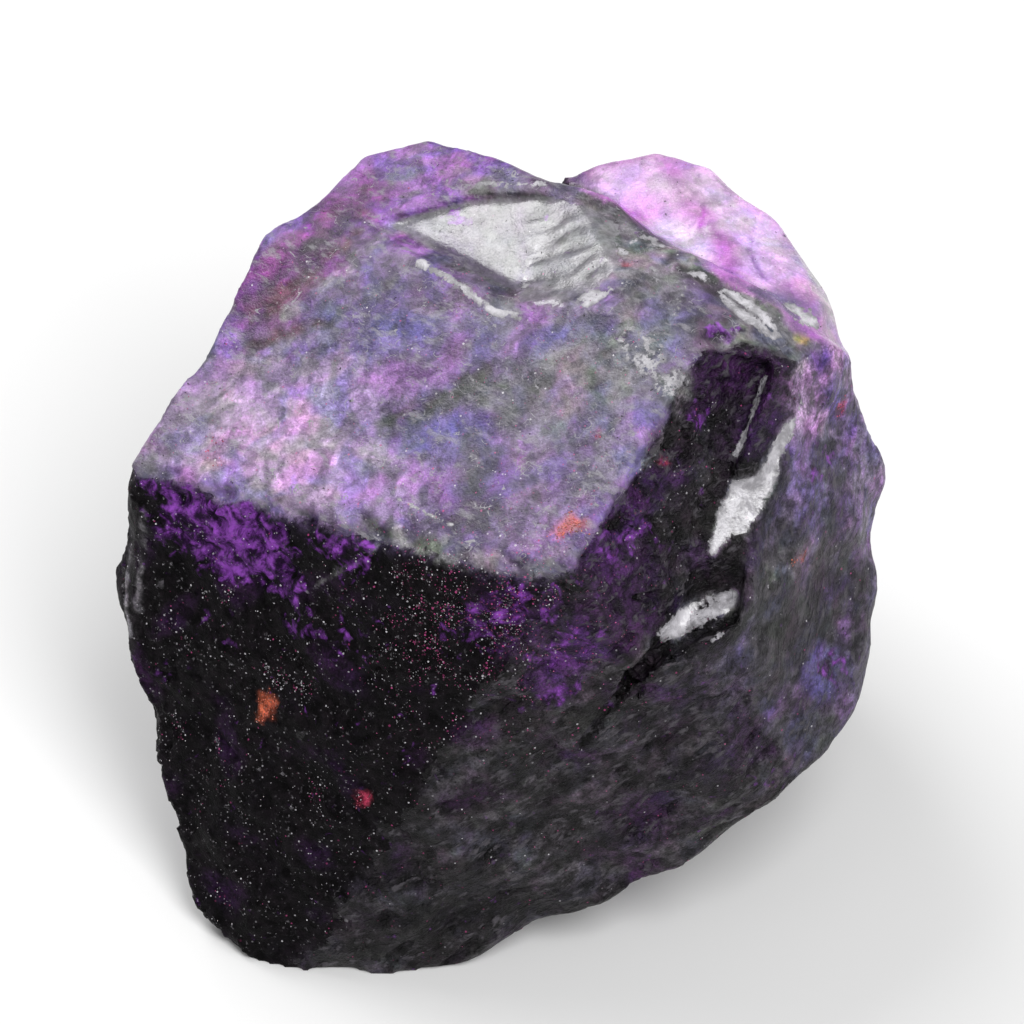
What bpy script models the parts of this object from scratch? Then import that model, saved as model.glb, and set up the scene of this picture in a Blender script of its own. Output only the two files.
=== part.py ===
"""Rough sapphire crystal: one broken, blocky lump of dark purple corundum.

The stone is cut from a block by its cleavage faces, with a thin lobe left standing
at its back. Its skin is worn and lumpy, and fresh chips are then broken out of it.
Places are drawn in millimetres on the stone as it is seen from the front and
above: x runs to the right, y up the drawing and z towards the eye. The finished
stone is turned to stand on its flat base, with z up, and its origin is the middle
of that base.
"""

import math

import bmesh
import bpy
from mathutils import Matrix, Vector, noise

MM = 0.001
VIEW_ELEVATION = 50.0  # degrees above the horizon from which the stone is drawn
BASE_DEPTH = 28.0  # the resting face lies this far below the drawing's origin
BLOCK_SIDE = 160.0  # the raw block, larger than the stone
SKIN_VOXEL = 0.36  # grain of the skin before it is worn
SKIN_TRIANGLES = 6600  # what is left of the skin once it is thinned
SEAM_GAP = 0.01  # corners closer than this along a cut are one corner
STONE_COLOUR = (0.055, 0.03, 0.075, 1.0)
STONE_ROUGHNESS = 0.38

FRONT_CORNER = (3.5, -5.6, 22.0)  # where the top, left and front faces meet

# Cleavage faces seen in the drawing, each as a point on it and the way it faces.
SEEN_FACES = {
    "top": (FRONT_CORNER, (-0.376, 0.456, 1.0)),
    "shoulder": ((13.9, 12.0, 17.9), (0.05, 1.10, 1.0)),
    "crest": ((-1.0, 24.5, 3.8), (-0.30, 0.90, 1.0)),
    "corner_break": ((14.0, 11.0, 18.4), (0.39, 0.76, 1.0)),
    "left_wall": (FRONT_CORNER, (-0.62, -0.43, 1.0)),
    "front_wall": (FRONT_CORNER, (0.22, -0.974, 1.0)),
    "right_flank": ((19.1, 2.2, 15.6), (1.4, -0.35, 1.0)),
    "left_bruise": ((-29.0, 0.8, 4.4), (-2.2, -0.25, 1.0)),
}

# Corners worn round, each as its two faces, a point on the corner and the wear.
WORN_CORNERS = {
    "front": ("left_wall", "front_wall", FRONT_CORNER, 1.1),
    "front_low": ("left_wall", "front_wall", (-17.0, -37.2, -4.3), 2.0),
    "right": ("front_wall", "right_flank", (16.6, -9.6, 15.4), 1.5),
    "left": ("top", "left_wall", (-12.5, -1.2, 14.0), 0.3),
}

# Faces round the outline, which turn away from the eye.
RIM_FACES = {
    "left_upper": ((-24.4, 11.3, 3.6), (-0.885, 0.465, -0.25)),
    "left": ((-32.2, -1.0, 0.0), (-0.987, -0.161, -0.25)),
    "left_low": ((-30.0, -17.9, -3.0), (-0.970, -0.180, -0.15)),
    "left_toe": ((-26.6, -28.3, -5.0), (-0.93, -0.37, -0.10)),
    "left_foot_corner": ((-22.7, -33.9, -6.0), (-0.667, -0.745, -0.05)),
    "toe": ((-17.2, -37.6, -4.5), (-0.14, -0.99, -0.05)),
    "front": ((-8.0, -36.8, -5.0), (0.176, -0.984, -0.10)),
    "front_low": ((8.4, -30.4, -2.5), (0.466, -0.885, -0.20)),
    "right_low": ((21.4, -21.8, 1.5), (0.62, -0.78, -0.20)),
    "right_corner": ((26.0, -17.2, 1.0), (0.86, -0.50, -0.20)),
    "right": ((28.4, -6.0, 1.0), (0.995, -0.03, -0.20)),
    "right_upper": ((26.2, 9.5, 6.0), (0.92, 0.39, -0.05)),
    "top_left": ((-9.0, 29.6, 1.5), (-0.32, 0.95, -0.20)),
    "upper_left": ((-17.6, 22.9, 2.5), (-0.724, 0.690, -0.20)),
    "top": ((-1.6, 27.6, 0.5), (0.44, 0.90, -0.15)),
    "back_right": ((15.4, 18.4, 9.5), (0.54, 0.84, 0.10)),
}

# Faces hidden from the drawing, given as the stone stands: x right, y back, z up.
HIDDEN_FACES = {
    "back_wall": ((0.0, 23.5, 0.0), (-0.10, 1.0, -0.12)),
    "back_left": ((-22.0, 15.0, -4.0), (-0.72, 0.68, -0.14)),
    "back_right": ((21.0, 17.0, -4.0), (0.66, 0.74, -0.10)),
    "back_foot": ((2.0, 19.5, -21.0), (0.10, 0.78, -0.62)),
    "left_foot": ((-26.9, 2.1, -21.4), (-0.80, 0.06, -0.60)),
    "right_foot": ((21.0, 6.0, -19.0), (0.76, 0.10, -0.64)),
    "front_foot": ((6.8, -20.4, -26.1), (0.30, -0.72, -0.62)),
}

# The chipped step at the right: the faces that its two chips leave behind.
RISER = (FRONT_CORNER, (0.75, -0.21, 1.0))
UPPER_TREAD = ((15.2, 2.2, 14.9), (0.145, -0.013, 1.0))
SPUR_RISER = ((18.7, 2.7, 14.4), (0.75, -0.35, 1.0))
SPUR_LEDGE = ((16.9, 4.8, 14.2), (-4.6, 1.6, 1.0))
SPUR_END = ((16.5, 2.3, 14.9), (0.08, -0.75, 1.0))
STEP_TOP = ((16.0, 11.3, 16.0), (0.02, 1.0, -0.25))
STEP_FOOT = ((14.4, -3.2, 15.0), (0.05, -0.80, 1.0))

# The pocket below the step, its tread, and the walls that close it in.
LOWER_TREAD = ((14.0, -8.2, 13.6), (0.12, 0.30, 1.0))
POCKET_LEFT = ((13.0, -5.0, 15.0), (3.0, -1.3, 1.0))
POCKET_RIGHT = ((17.7, -3.5, 15.0), (0.98, -0.17, -0.15))
POCKET_LIP = ((14.6, -9.2, 15.0), (0.36, -0.93, -0.05))

# Glassy flakes off the top: the flake, the fan beside it and the step above them.
FLAKE = ((-2.8, 18.7, 6.3), (-0.30, 0.70, 1.0))
FAN = ((1.0, 17.1, 8.55), (-0.60, 0.826, 1.0))
FLAKE_STEP = ((-6.9, 19.0, 6.9), (0.19, 1.58, 1.0))
FAN_FOOT = ((4.5, 16.0, 12.0), (0.22, -0.97, -0.60))
FLAKE_TOP = ((-5.6, 23.8, 3.0), (-0.24, 0.97, -0.40))
FAN_TOP = ((2.0, 24.3, 4.0), (0.10, 1.0, -0.40))
LEDGE = ((18.6, 15.6, 13.0), (0.10, 0.95, 1.0))
LEDGE_FOOT = ((17.2, 13.6, 16.0), (-0.62, -0.78, -0.20))

# The lobe: points on its outline, on its seam with the stone, and on its back.
LOBE_RIM = [
    (4.2, 26.0, -3.0), (8.0, 27.3, -1.5), (11.0, 27.9, -1.0), (15.1, 27.0, 0.0),
    (18.5, 23.3, 2.5), (21.7, 20.6, 4.5), (23.7, 15.3, 8.5), (24.7, 12.6, 8.5), (26.4, 8.6, 5.5),
]
LOBE_SEAM = [(5.6, 23.4, 1.0), (9.8, 20.4, 5.0), (13.6, 18.6, 8.0), (17.0, 16.6, 10.6), (22.4, 13.6, 12.2)]
LOBE_BACK = [(4.0, 20.0, -13.0), (12.0, 19.0, -14.0), (19.0, 14.0, -13.0), (24.0, 9.0, -8.0)]

# The crack that runs on from the foot of the step: its line, widths and depths.
CRACK = [
    ((17.0, -7.4, 15.8), 0.45, 3.4),
    ((11.0, -10.0, 16.0), 0.75, 3.4),
    ((8.2, -13.2, 13.5), 0.55, 2.4),
    ((5.4, -17.2, 10.4), 0.30, 1.2),
]
PITS = {
    "top_pit": ((15.4, 12.9, 16.8), 1.5),
    "left_pit": ((-24.0, -3.0, 6.3), 1.3),
    "flank_pit": ((22.6, 6.2, 12.9), 0.9),
}

# Wear of the skin: broad swells and lumps, each as its wavelength and its height.
SWELL = (11.0, 0.34)
LUMPS = (4.6, 0.42)
SMOOTH_FACING = (-0.15, 0.40, 1.0)  # the glassy top, which stays smoother, faces this way


def standing_turn():
    """The turn from the drawing's axes to the stone as it stands, z up."""
    return Matrix.Rotation(math.radians(90.0 - VIEW_ELEVATION), 3, "X")


def opposite(face):
    """The same plane seen from its other side, as a tool's face meets the stone's."""
    point, facing = face
    return point, tuple(-part for part in facing)


def worn_corner(first, second, point, wear):
    """The plane that wears a corner between two faces by a given depth."""
    between = Vector(SEEN_FACES[first][1]).normalized() + Vector(SEEN_FACES[second][1]).normalized()
    return tuple(Vector(point) - between.normalized() * wear), tuple(between)


def clear_scene():
    for thing in list(bpy.data.objects):
        bpy.data.objects.remove(thing, do_unlink=True)


def new_object(name, bm):
    mesh = bpy.data.meshes.new(name)
    bm.to_mesh(mesh)
    bm.free()
    thing = bpy.data.objects.new(name, mesh)
    bpy.context.scene.collection.objects.link(thing)
    return thing


def slice_block(bm, point, facing):
    """Cuts the block by one face and closes the cut."""
    cut = bmesh.ops.bisect_plane(
        bm,
        geom=bm.verts[:] + bm.edges[:] + bm.faces[:],
        dist=1e-5,
        plane_co=Vector(point),
        plane_no=Vector(facing).normalized(),
        clear_outer=True,
    )
    rim = [part for part in cut["geom_cut"] if isinstance(part, bmesh.types.BMEdge)]
    if rim:
        bmesh.ops.contextual_create(bm, geom=rim)


def block_between(*faces):
    """The convex block that lies inside all of these faces."""
    bm = bmesh.new()
    bmesh.ops.create_cube(bm, size=BLOCK_SIDE)
    for point, facing in faces:
        slice_block(bm, point, facing)
    bmesh.ops.recalc_face_normals(bm, faces=bm.faces)
    return bm


def hull_of(points):
    bm = bmesh.new()
    for point in points:
        bm.verts.new(point)
    bmesh.ops.convex_hull(bm, input=bm.verts)
    bmesh.ops.recalc_face_normals(bm, faces=bm.faces)
    return bm


def downwards():
    """Straight down for the standing stone, in the drawing's axes."""
    return standing_turn().inverted() @ Vector((0.0, 0.0, -1.0))


def cleaved_block():
    """The raw block after every cleavage face has been struck."""
    turned_back = standing_turn().inverted()
    faces = list(SEEN_FACES.values())
    faces += [worn_corner(*corner) for corner in WORN_CORNERS.values()]
    faces += list(RIM_FACES.values())
    faces += [(turned_back @ Vector(at), turned_back @ Vector(to)) for at, to in HIDDEN_FACES.values()]
    faces.append((downwards() * (BASE_DEPTH + 1.0), downwards()))
    return new_object("block", block_between(*faces))


def lobe():
    """The thin lobe that stands behind the top ridge."""
    return new_object("lobe", hull_of(LOBE_RIM + LOBE_SEAM + LOBE_BACK))


def step_tools():
    """The chips whose loss leaves the risers and treads at the right."""
    behind_riser = opposite(RISER)
    on_tread = opposite(UPPER_TREAD)
    return {
        "outer_chip": block_between(opposite(SPUR_RISER), behind_riser, on_tread, STEP_TOP),
        "ledge_chip": block_between(behind_riser, opposite(SPUR_LEDGE), on_tread, STEP_TOP),
        "inner_chip": block_between(behind_riser, on_tread, opposite(SPUR_END)),
        "pocket_chip": block_between(
            opposite(STEP_FOOT), opposite(LOWER_TREAD), opposite(POCKET_LEFT), POCKET_RIGHT, POCKET_LIP
        ),
    }


def glassy_tools():
    """The shallow, glassy flakes struck from the top near its back edge."""
    return {
        "flake": block_between(opposite(FLAKE), opposite(FAN), opposite(FLAKE_STEP), FAN_FOOT, FLAKE_TOP, FAN_TOP),
        "ledge": block_between(opposite(LEDGE), LEDGE_FOOT),
    }


def crack_tool(start, end):
    """A wedge that opens the crack between two points of its line."""
    (a, a_width, a_depth), (b, b_width, b_depth) = start, end
    across = (Vector(b) - Vector(a)).cross(Vector((0.0, 0.0, 1.0))).normalized()
    points = []
    for place, width, depth in ((Vector(a), a_width, a_depth), (Vector(b), b_width, b_depth)):
        lip = Vector((0.0, 0.0, depth))
        points += [place + across * width + lip, place - across * width + lip]
        points += [place - lip + across * (0.3 * width), place - lip - across * (0.3 * width)]
    return hull_of(points)


def pit_tool(middle, radius):
    bm = bmesh.new()
    bmesh.ops.create_icosphere(bm, subdivisions=1, radius=radius, matrix=Matrix.Translation(middle))
    return bm


def cutting_tools():
    tools = {**step_tools(), **glassy_tools()}
    for number, (start, end) in enumerate(zip(CRACK, CRACK[1:])):
        tools[f"crack_{number}"] = crack_tool(start, end)
    for name, (middle, radius) in PITS.items():
        tools[name] = pit_tool(middle, radius)
    return [new_object(name, bm) for name, bm in tools.items()]


def add_boolean(stone, tool, operation):
    change = stone.modifiers.new(tool.name, "BOOLEAN")
    change.operation = operation
    change.object = tool
    tool.hide_render = True
    tool.display_type = "WIRE"


def add_skin(stone):
    """Wraps the broken block in one even skin that can be worn."""
    skin = stone.modifiers.new("skin", "REMESH")
    skin.mode = "VOXEL"
    skin.voxel_size = SKIN_VOXEL


def take_mesh(thing):
    """The object's mesh with its modifiers applied."""
    bpy.context.view_layer.update()
    shaped = thing.evaluated_get(bpy.context.evaluated_depsgraph_get())
    mesh = bpy.data.meshes.new_from_object(shaped)
    thing.modifiers.clear()
    thing.data = mesh


def ripple(place, wave):
    """Noise of one wavelength, from -1 to 1, times its height."""
    wavelength, height = wave
    return noise.noise(place / wavelength) * 2.0 * height


def wear(bm):
    """Rubs the edges down and raises swells and lumps, least on the glassy top."""
    bmesh.ops.smooth_vert(bm, verts=bm.verts, factor=0.5, use_axis_x=True, use_axis_y=True, use_axis_z=True)
    bm.normal_update()
    glassy = Vector(SMOOTH_FACING).normalized()
    moves = []
    for vert in bm.verts:
        roughness = min(1.0, max(0.15, 3.0 * (0.97 - vert.normal.dot(glassy))))
        height = ripple(vert.co, SWELL) + roughness * ripple(vert.co, LUMPS)
        moves.append(vert.normal * height)
    for vert, move in zip(bm.verts, moves):
        vert.co += move


def worn_stone(stone):
    bm = bmesh.new()
    bm.from_mesh(stone.data)
    wear(bm)
    bm.to_mesh(stone.data)
    bm.free()


def thin_skin(stone):
    """Thins the skin to few triangles, which gather where the surface bends."""
    thinning = stone.modifiers.new("thinning", "DECIMATE")
    stone.data.calc_loop_triangles()
    thinning.ratio = SKIN_TRIANGLES / len(stone.data.loop_triangles)
    take_mesh(stone)


def stand_up(stone):
    """Turns the stone upright, cuts its flat base and puts the base's middle at the origin."""
    bm = bmesh.new()
    bm.from_mesh(stone.data)
    bmesh.ops.remove_doubles(bm, verts=bm.verts, dist=SEAM_GAP)
    bmesh.ops.dissolve_degenerate(bm, edges=bm.edges, dist=SEAM_GAP)
    slice_block(bm, downwards() * BASE_DEPTH, downwards())
    bmesh.ops.triangulate(bm, faces=bm.faces)
    bm.transform(Matrix.Scale(MM, 4) @ standing_turn().to_4x4())
    across = [vert.co.x for vert in bm.verts]
    along = [vert.co.y for vert in bm.verts]
    middle = Vector((min(across) + max(across), min(along) + max(along), -2.0 * BASE_DEPTH * MM)) / 2.0
    bmesh.ops.translate(bm, verts=bm.verts, vec=-middle)
    bm.to_mesh(stone.data)
    bm.free()


def paint(stone):
    paint_mix = bpy.data.materials.new("stone")
    paint_mix.use_nodes = True
    shader = paint_mix.node_tree.nodes["Principled BSDF"]
    shader.inputs["Base Color"].default_value = STONE_COLOUR
    shader.inputs["Roughness"].default_value = STONE_ROUGHNESS
    shader.inputs["Metallic"].default_value = 0.0
    stone.data.materials.clear()
    stone.data.materials.append(paint_mix)


def main():
    clear_scene()
    stone = cleaved_block()
    add_boolean(stone, lobe(), "UNION")
    add_skin(stone)
    take_mesh(stone)
    worn_stone(stone)
    thin_skin(stone)
    for tool in cutting_tools():
        add_boolean(stone, tool, "DIFFERENCE")
    take_mesh(stone)
    stand_up(stone)
    paint(stone)
    stone.name = "sapphire_crystal"
    stone.data.name = "sapphire_crystal"
    for tool in list(bpy.data.objects):
        if tool != stone:
            bpy.data.objects.remove(tool, do_unlink=True)


main()
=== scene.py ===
"""Rough sapphire crystal: the worn and broken skin of the stone, its grains and its studio.

Laid out as a Blender add-on. Run as a script, it loads the stone's solid, builds the fine
stone over it, strews its grains and flecks, and sets up a plain studio.

Places on the stone are drawn in millimetres as it is seen from the front and above: x runs
to the right, y up the drawing and z towards the eye. A face is given as a point on it and
the way it faces.
"""

import itertools
import math
from collections import namedtuple

import bmesh
import bpy
import numpy as np
from mathutils import Matrix, Vector


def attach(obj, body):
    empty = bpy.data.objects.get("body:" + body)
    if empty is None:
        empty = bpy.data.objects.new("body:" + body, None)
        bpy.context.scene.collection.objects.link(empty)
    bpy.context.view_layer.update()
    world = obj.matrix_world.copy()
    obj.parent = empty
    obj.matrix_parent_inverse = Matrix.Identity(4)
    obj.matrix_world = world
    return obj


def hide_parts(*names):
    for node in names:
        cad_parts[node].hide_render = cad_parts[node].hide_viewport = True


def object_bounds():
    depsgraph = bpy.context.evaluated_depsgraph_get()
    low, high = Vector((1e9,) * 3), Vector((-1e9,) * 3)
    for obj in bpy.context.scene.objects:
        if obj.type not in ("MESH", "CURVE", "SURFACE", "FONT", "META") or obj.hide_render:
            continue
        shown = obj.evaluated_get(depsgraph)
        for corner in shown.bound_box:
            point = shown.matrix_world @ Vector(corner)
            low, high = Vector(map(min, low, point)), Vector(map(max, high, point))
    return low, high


bl_info = {
    "name": "Rough Sapphire Crystal",
    "version": (1, 0, 0),
    "blender": (4, 5, 0),
    "location": "3D View > Sidebar > Crystal",
    "description": "Builds a rough, broken sapphire with its grains, and a studio to show it in",
    "category": "Add Mesh",
}

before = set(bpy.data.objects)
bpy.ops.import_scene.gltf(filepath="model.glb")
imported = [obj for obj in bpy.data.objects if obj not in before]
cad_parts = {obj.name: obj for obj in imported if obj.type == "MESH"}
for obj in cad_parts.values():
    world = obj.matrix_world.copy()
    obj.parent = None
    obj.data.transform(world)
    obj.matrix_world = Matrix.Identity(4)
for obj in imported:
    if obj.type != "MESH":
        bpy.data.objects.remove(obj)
CAD_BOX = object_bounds()

MM = 0.001
NODE = "sapphire_crystal"
BODY = "root"

# How steeply the drawing looks down on the stone, in degrees, and where its middle lies.
VIEW_ELEVATION = 50.0
DRAWING_ORIGIN = (1.04, -0.337, 28.0)
TRIANGLE_LIMIT = 192000

# What the noises are made from: fixed arrows, and the primes that pick one for a cell and a seed.
ARROWS = np.random.default_rng(9).uniform(-1.0, 1.0, (4093, 3))
CELL_PRIMES = np.array((73856093, 19349663, 83492791))
SEED_PRIME = 40503

# The corner where the top, the left wall and the front wall meet, and the worn faces.
FRONT_CORNER = (3.5, -5.6, 22.0)
FACES = {
    "top": (FRONT_CORNER, (-0.376, 0.456, 1.0)),
    "shoulder": ((13.9, 12.0, 17.9), (0.05, 1.10, 1.0)),
    "crest": ((-1.0, 24.5, 3.8), (-0.30, 0.90, 1.0)),
    "corner_break": ((14.0, 11.0, 18.4), (0.39, 0.76, 1.0)),
    "left_wall": (FRONT_CORNER, (-0.62, -0.43, 1.0)),
    "front_wall": (FRONT_CORNER, (0.22, -0.974, 1.0)),
    "flank": ((19.1, 2.2, 15.6), (1.4, -0.35, 1.0)),
    "bruise": ((-29.0, 0.8, 4.4), (-2.2, -0.25, 1.0)),
}

# The face behind which the lobe stands, and the fresh breaks.
LOBE_SEAM = ((15.4, 18.4, 9.5), (0.54, 0.84, 0.10))
RISER = (FRONT_CORNER, (0.75, -0.21, 1.0))
UPPER_TREAD = ((15.2, 2.2, 14.9), (0.145, -0.013, 1.0))
LOWER_TREAD = ((14.0, -8.2, 13.6), (0.12, 0.30, 1.0))
SPUR_LEDGE = ((16.9, 4.8, 14.2), (-4.6, 1.6, 1.0))
FLAKE = ((-2.8, 18.7, 6.3), (-0.30, 0.70, 1.0))
LEDGE = ((18.6, 15.6, 13.0), (0.10, 0.95, 1.0))

# The rims of the chipped step, its treads and the fan, and the run of the crack, as drawn.
NOTCH_RIM = (
    (3.5, -5.7), (9.3, 3.1), (13.7, 11.8), (18.6, 12.3), (21.7, 10.9), (21.2, 7.0), (19.7, 2.2),
    (17.7, -1.8), (17.3, -5.8), (17.1, -8.4), (15.1, -11.4), (10.2, -10.2), (10.5, -8.3),
)
UPPER_TREAD_RIM = (
    (13.4, -3.0), (13.9, -0.4), (14.8, 1.0), (15.0, 2.1), (16.7, 2.4), (18.1, 2.7),
    (18.9, 4.0), (19.3, 5.3), (20.3, 6.7), (21.1, 7.1), (21.1, 5.9), (20.4, 4.0),
    (19.2, 1.4), (18.1, -0.4), (17.2, -1.7), (16.2, -1.6), (14.9, -3.3),
)
LOWER_TREAD_RIM = (
    (11.9, -7.4), (14.0, -6.5), (15.8, -5.7), (17.0, -5.8),
    (16.6, -7.1), (14.4, -8.6), (12.0, -9.5), (11.3, -8.9),
)
FAN_RIM = (
    (0.9, 24.2), (5.2, 23.5), (7.6, 21.8), (8.2, 18.8),
    (6.6, 17.0), (3.6, 15.9), (0.9, 15.9), (1.0, 18.9),
)
CRACK = ((17.0, -7.4, 15.8), (11.0, -10.0, 16.0), (8.2, -13.2, 13.5), (5.4, -17.2, 10.4))

# The ways in which the streaks, the flutes and the bands of each part run.
TOP_RUN = (0.85, -0.5, 0.3)
FRONT_RUN = (0.82, 0.52, 0.2)
FLANK_RUN = (0.1, 1.0, 0.2)
FRESH_RUN = (0.6, -0.75, 0.4)
LOBE_RUN = (0.35, -0.9, 0.3)
LOBE_FLUTES = (0.3, 1.0, 0.3)
HIDDEN_RUN = (0.4, 0.9, 0.2)

# How the soft waves of the fan are turned in the drawing, and how far apart they are.
FAN_TURN = math.radians(20.0)
FAN_WAVELENGTH = 1.25

# Where the grains crowd below the front corner, and how far they spread.
CROWD_MIDDLE = (-1.0, -8.0)
CROWD_SPREAD = math.sqrt(40.0)

# The colour that each part of the stone has below its clouds.
GROUND = {
    "top": "dusk",
    "shoulder": "slate",
    "crest": "orchid",
    "corner_break": "ash",
    "left_wall": "black",
    "front_wall": "soot",
    "flank": "slate",
    "bruise": "soot",
    "rest": "soot",
    # Painted shade: the pockets of the notch are laid in black.
    "notch": "black",
    "riser": "soot",
    # Painted highlight: the pale ground of the treads stands in place of the light that they reflect,
    # and the pale ground of the flake partly so.
    "tread": "ice",
    "flake": "pale_grey",
    "fan": "pale_grey",
    "ledge": "glass",
    "lobe": "mauve",
}

# A cloud of colour in the skin: the part it lies on, its middle, its length and width, its
# turn from level in degrees, its colour and how strong it is.
Cloud = namedtuple("Cloud", "part middle size turn colour strength")
CLOUDS = {
    "pale_tip": Cloud("top", (-21.5, 4.4), (17.0, 9.0), -28.0, "lilac", 0.75),
    "pale_rim": Cloud("top", (-14.0, 2.6), (12.0, 6.5), -22.0, "lilac", 0.8),
    "grey_tip": Cloud("top", (-22.5, 8.5), (9.0, 4.5), 35.0, "ash", 0.75),
    "milky_left": Cloud("top", (-17.5, 8.8), (13.0, 10.0), 20.0, "lilac", 0.95),
    "dim_front": Cloud("top", (1.6, 0.4), (10.0, 7.0), 15.0, "slate", 0.6),
    "pale_left": Cloud("top", (-17.0, 10.5), (9.0, 6.0), 20.0, "heather", 0.75),
    "grey_rise": Cloud("top", (-15.5, 15.0), (8.0, 3.5), 30.0, "ash", 0.5),
    "green_left": Cloud("top", (-19.5, 12.0), (5.0, 3.0), 30.0, "sage", 0.35),
    "orchid_low": Cloud("top", (-9.3, 2.6), (7.0, 7.5), 10.0, "heather", 0.8),
    "orchid_middle": Cloud("top", (-10.5, 9.0), (8.0, 4.0), 20.0, "heather", 0.7),
    "orchid_high": Cloud("top", (-5.5, 11.6), (6.0, 4.0), 20.0, "orchid", 0.6),
    "blue_left": Cloud("top", (-9.8, 13.6), (8.0, 4.0), -20.0, "indigo", 0.7),
    "blue_high": Cloud("top", (-2.0, 12.4), (4.0, 3.4), 30.0, "indigo", 0.85),
    "blue_under_band": Cloud("top", (-3.6, 6.0), (8.0, 3.0), 22.0, "indigo", 0.9),
    "dark_band": Cloud("top", (-4.6, 8.3), (9.0, 1.9), 28.0, "moss", 0.6),
    "grey_middle": Cloud("top", (-2.3, 2.4), (4.0, 7.0), 10.0, "slate", 0.6),
    "violet_middle": Cloud("top", (1.0, 2.6), (7.0, 5.0), 20.0, "orchid", 0.5),
    "dusk_low": Cloud("top", (-3.5, -0.8), (6.0, 3.0), -25.0, "slate", 0.5),
    "lilac_front": Cloud("top", (2.4, -1.0), (8.0, 4.0), 15.0, "heather", 0.6),
    "grey_right": Cloud("top", (5.0, 9.6), (11.0, 8.0), 20.0, "sage", 0.7),
    "dark_right": Cloud("top", (2.0, 9.0), (5.0, 3.0), 40.0, "moss", 0.6),
    "blue_right": Cloud("top", (4.6, 13.4), (6.0, 2.4), 10.0, "indigo", 0.5),
    "dusk_corner": Cloud("top", (7.4, 4.0), (3.0, 8.0), -25.0, "heather", 0.55),
    "dusky_rim": Cloud("top", (-16.5, 18.0), (13.0, 7.0), 45.0, "magenta", 0.9),
    "magenta_rim": Cloud("top", (-19.8, 19.0), (10.0, 3.4), 45.0, "magenta", 0.9),
    "rust_rim": Cloud("top", (-18.2, 16.4), (9.0, 2.2), 20.0, "rust", 0.75),
    "magenta_high": Cloud("crest", (-11.5, 24.8), (10.0, 3.4), 25.0, "magenta", 0.7),
    "rust_high": Cloud("crest", (-14.5, 21.2), (8.0, 3.4), 45.0, "rust", 0.85),
    "orchid_crest": Cloud("crest", (-7.0, 26.6), (6.0, 2.6), -20.0, "orchid", 0.9),
    "grey_crest": Cloud("crest", (-0.5, 25.0), (9.0, 3.6), 0.0, "ash", 0.8),
    "violet_facet": Cloud("shoulder", (12.4, 15.8), (5.0, 3.6), 0.0, "heather", 0.6),
    "frosted_seam": Cloud("stone", (9.8, 18.9), (8.0, 3.0), -36.0, "ice", 0.7),
    "grey_shoulder": Cloud("shoulder", (10.0, 16.0), (8.0, 4.0), -10.0, "ash", 0.6),
    "plum_corner": Cloud("front_wall", (0.3, -8.3), (8.0, 4.0), 30.0, "plum", 0.85),
    "plum_riser": Cloud("riser", (9.0, -1.0), (7.0, 12.0), -30.0, "violet", 0.35),
    "plum_step": Cloud("riser", (10.4, 2.6), (5.0, 6.0), 60.0, "plum", 0.7),
    "plum_brow": Cloud("front_wall", (7.0, -8.6), (9.0, 5.0), 20.0, "plum", 0.9),
    "violet_brow": Cloud("front_wall", (4.0, -11.0), (7.0, 4.0), 30.0, "violet", 0.45),
    "plum_notch": Cloud("notch", (16.5, 8.0), (9.0, 9.0), 60.0, "plum", 0.9),
    "thin_edge": Cloud("flank", (27.4, 5.0), (5.0, 18.0), 0.0, "heather", 0.6),
    "violet_side": Cloud("front_wall", (19.0, -12.5), (12.0, 9.0), 30.0, "dusk_shade", 0.5),
    # Painted highlight: the light on the flank's shoulder is laid in as a pale cloud.
    "lit_shoulder": Cloud("flank", (23.0, 10.0), (7.0, 8.0), -10.0, "lilac", 0.8),
    "blue_shoulder": Cloud("flank", (22.2, 11.6), (2.4, 4.0), 0.0, "deep_blue", 0.8),
    "blue_flank": Cloud("flank", (24.6, 8.6), (2.0, 4.6), 20.0, "indigo", 0.9),
    "pale_flank": Cloud("flank", (21.9, 8.4), (3.0, 6.0), 20.0, "lilac", 0.9),
    "pale_spur": Cloud("flank", (20.6, 3.4), (2.4, 5.0), 15.0, "heather", 0.5),
    "violet_flank": Cloud("flank", (22.5, 2.5), (6.0, 9.0), 0.0, "dusk", 0.55),
    "sage_flank": Cloud("flank", (20.6, -3.8), (2.6, 4.6), -30.0, "ash", 0.5),
    "dark_flank": Cloud("flank", (22.0, -9.5), (8.0, 5.0), 0.0, "soot", 0.7),
    "violet_foot": Cloud("flank", (24.0, -12.6), (4.0, 5.0), 10.0, "indigo", 0.6),
    # Painted shade: the bottom of the front, towards the left, is laid darker.
    "toe_shade": Cloud("front_wall", (-9.0, -33.0), (26.0, 6.0), 8.0, "black", 0.8),
    "corner_shade": Cloud("front_wall", (-13.0, -27.0), (12.0, 8.0), 50.0, "black", 0.7),
    "plum_foot": Cloud("front_wall", (20.0, -17.0), (12.0, 6.0), 30.0, "plum", 0.6),
    "lobe_pale": Cloud("lobe", (13.8, 20.4), (3.2, 6.0), 25.0, "pearl", 0.9),
    "lobe_edge": Cloud("lobe", (18.5, 22.0), (12.0, 4.0), -42.0, "pearl", 0.75),
    "lobe_white": Cloud("lobe", (23.6, 16.5), (3.0, 8.0), 15.0, "chalk", 0.8),
    "lobe_deep": Cloud("lobe", (16.6, 18.6), (3.6, 5.4), 10.0, "fuchsia", 0.6),
    "lobe_left": Cloud("lobe", (9.0, 23.6), (6.0, 3.0), 0.0, "fuchsia", 0.5),
    "lobe_bright": Cloud("lobe", (11.4, 20.6), (3.0, 3.6), 20.0, "pearl", 0.8),
    "lobe_lower": Cloud("lobe", (19.0, 19.0), (5.0, 4.0), -40.0, "pearl", 0.6),
    "lobe_shadow": Cloud("lobe", (19.0, 16.2), (5.0, 1.6), -30.0, "dusk", 0.9),
}

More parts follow.
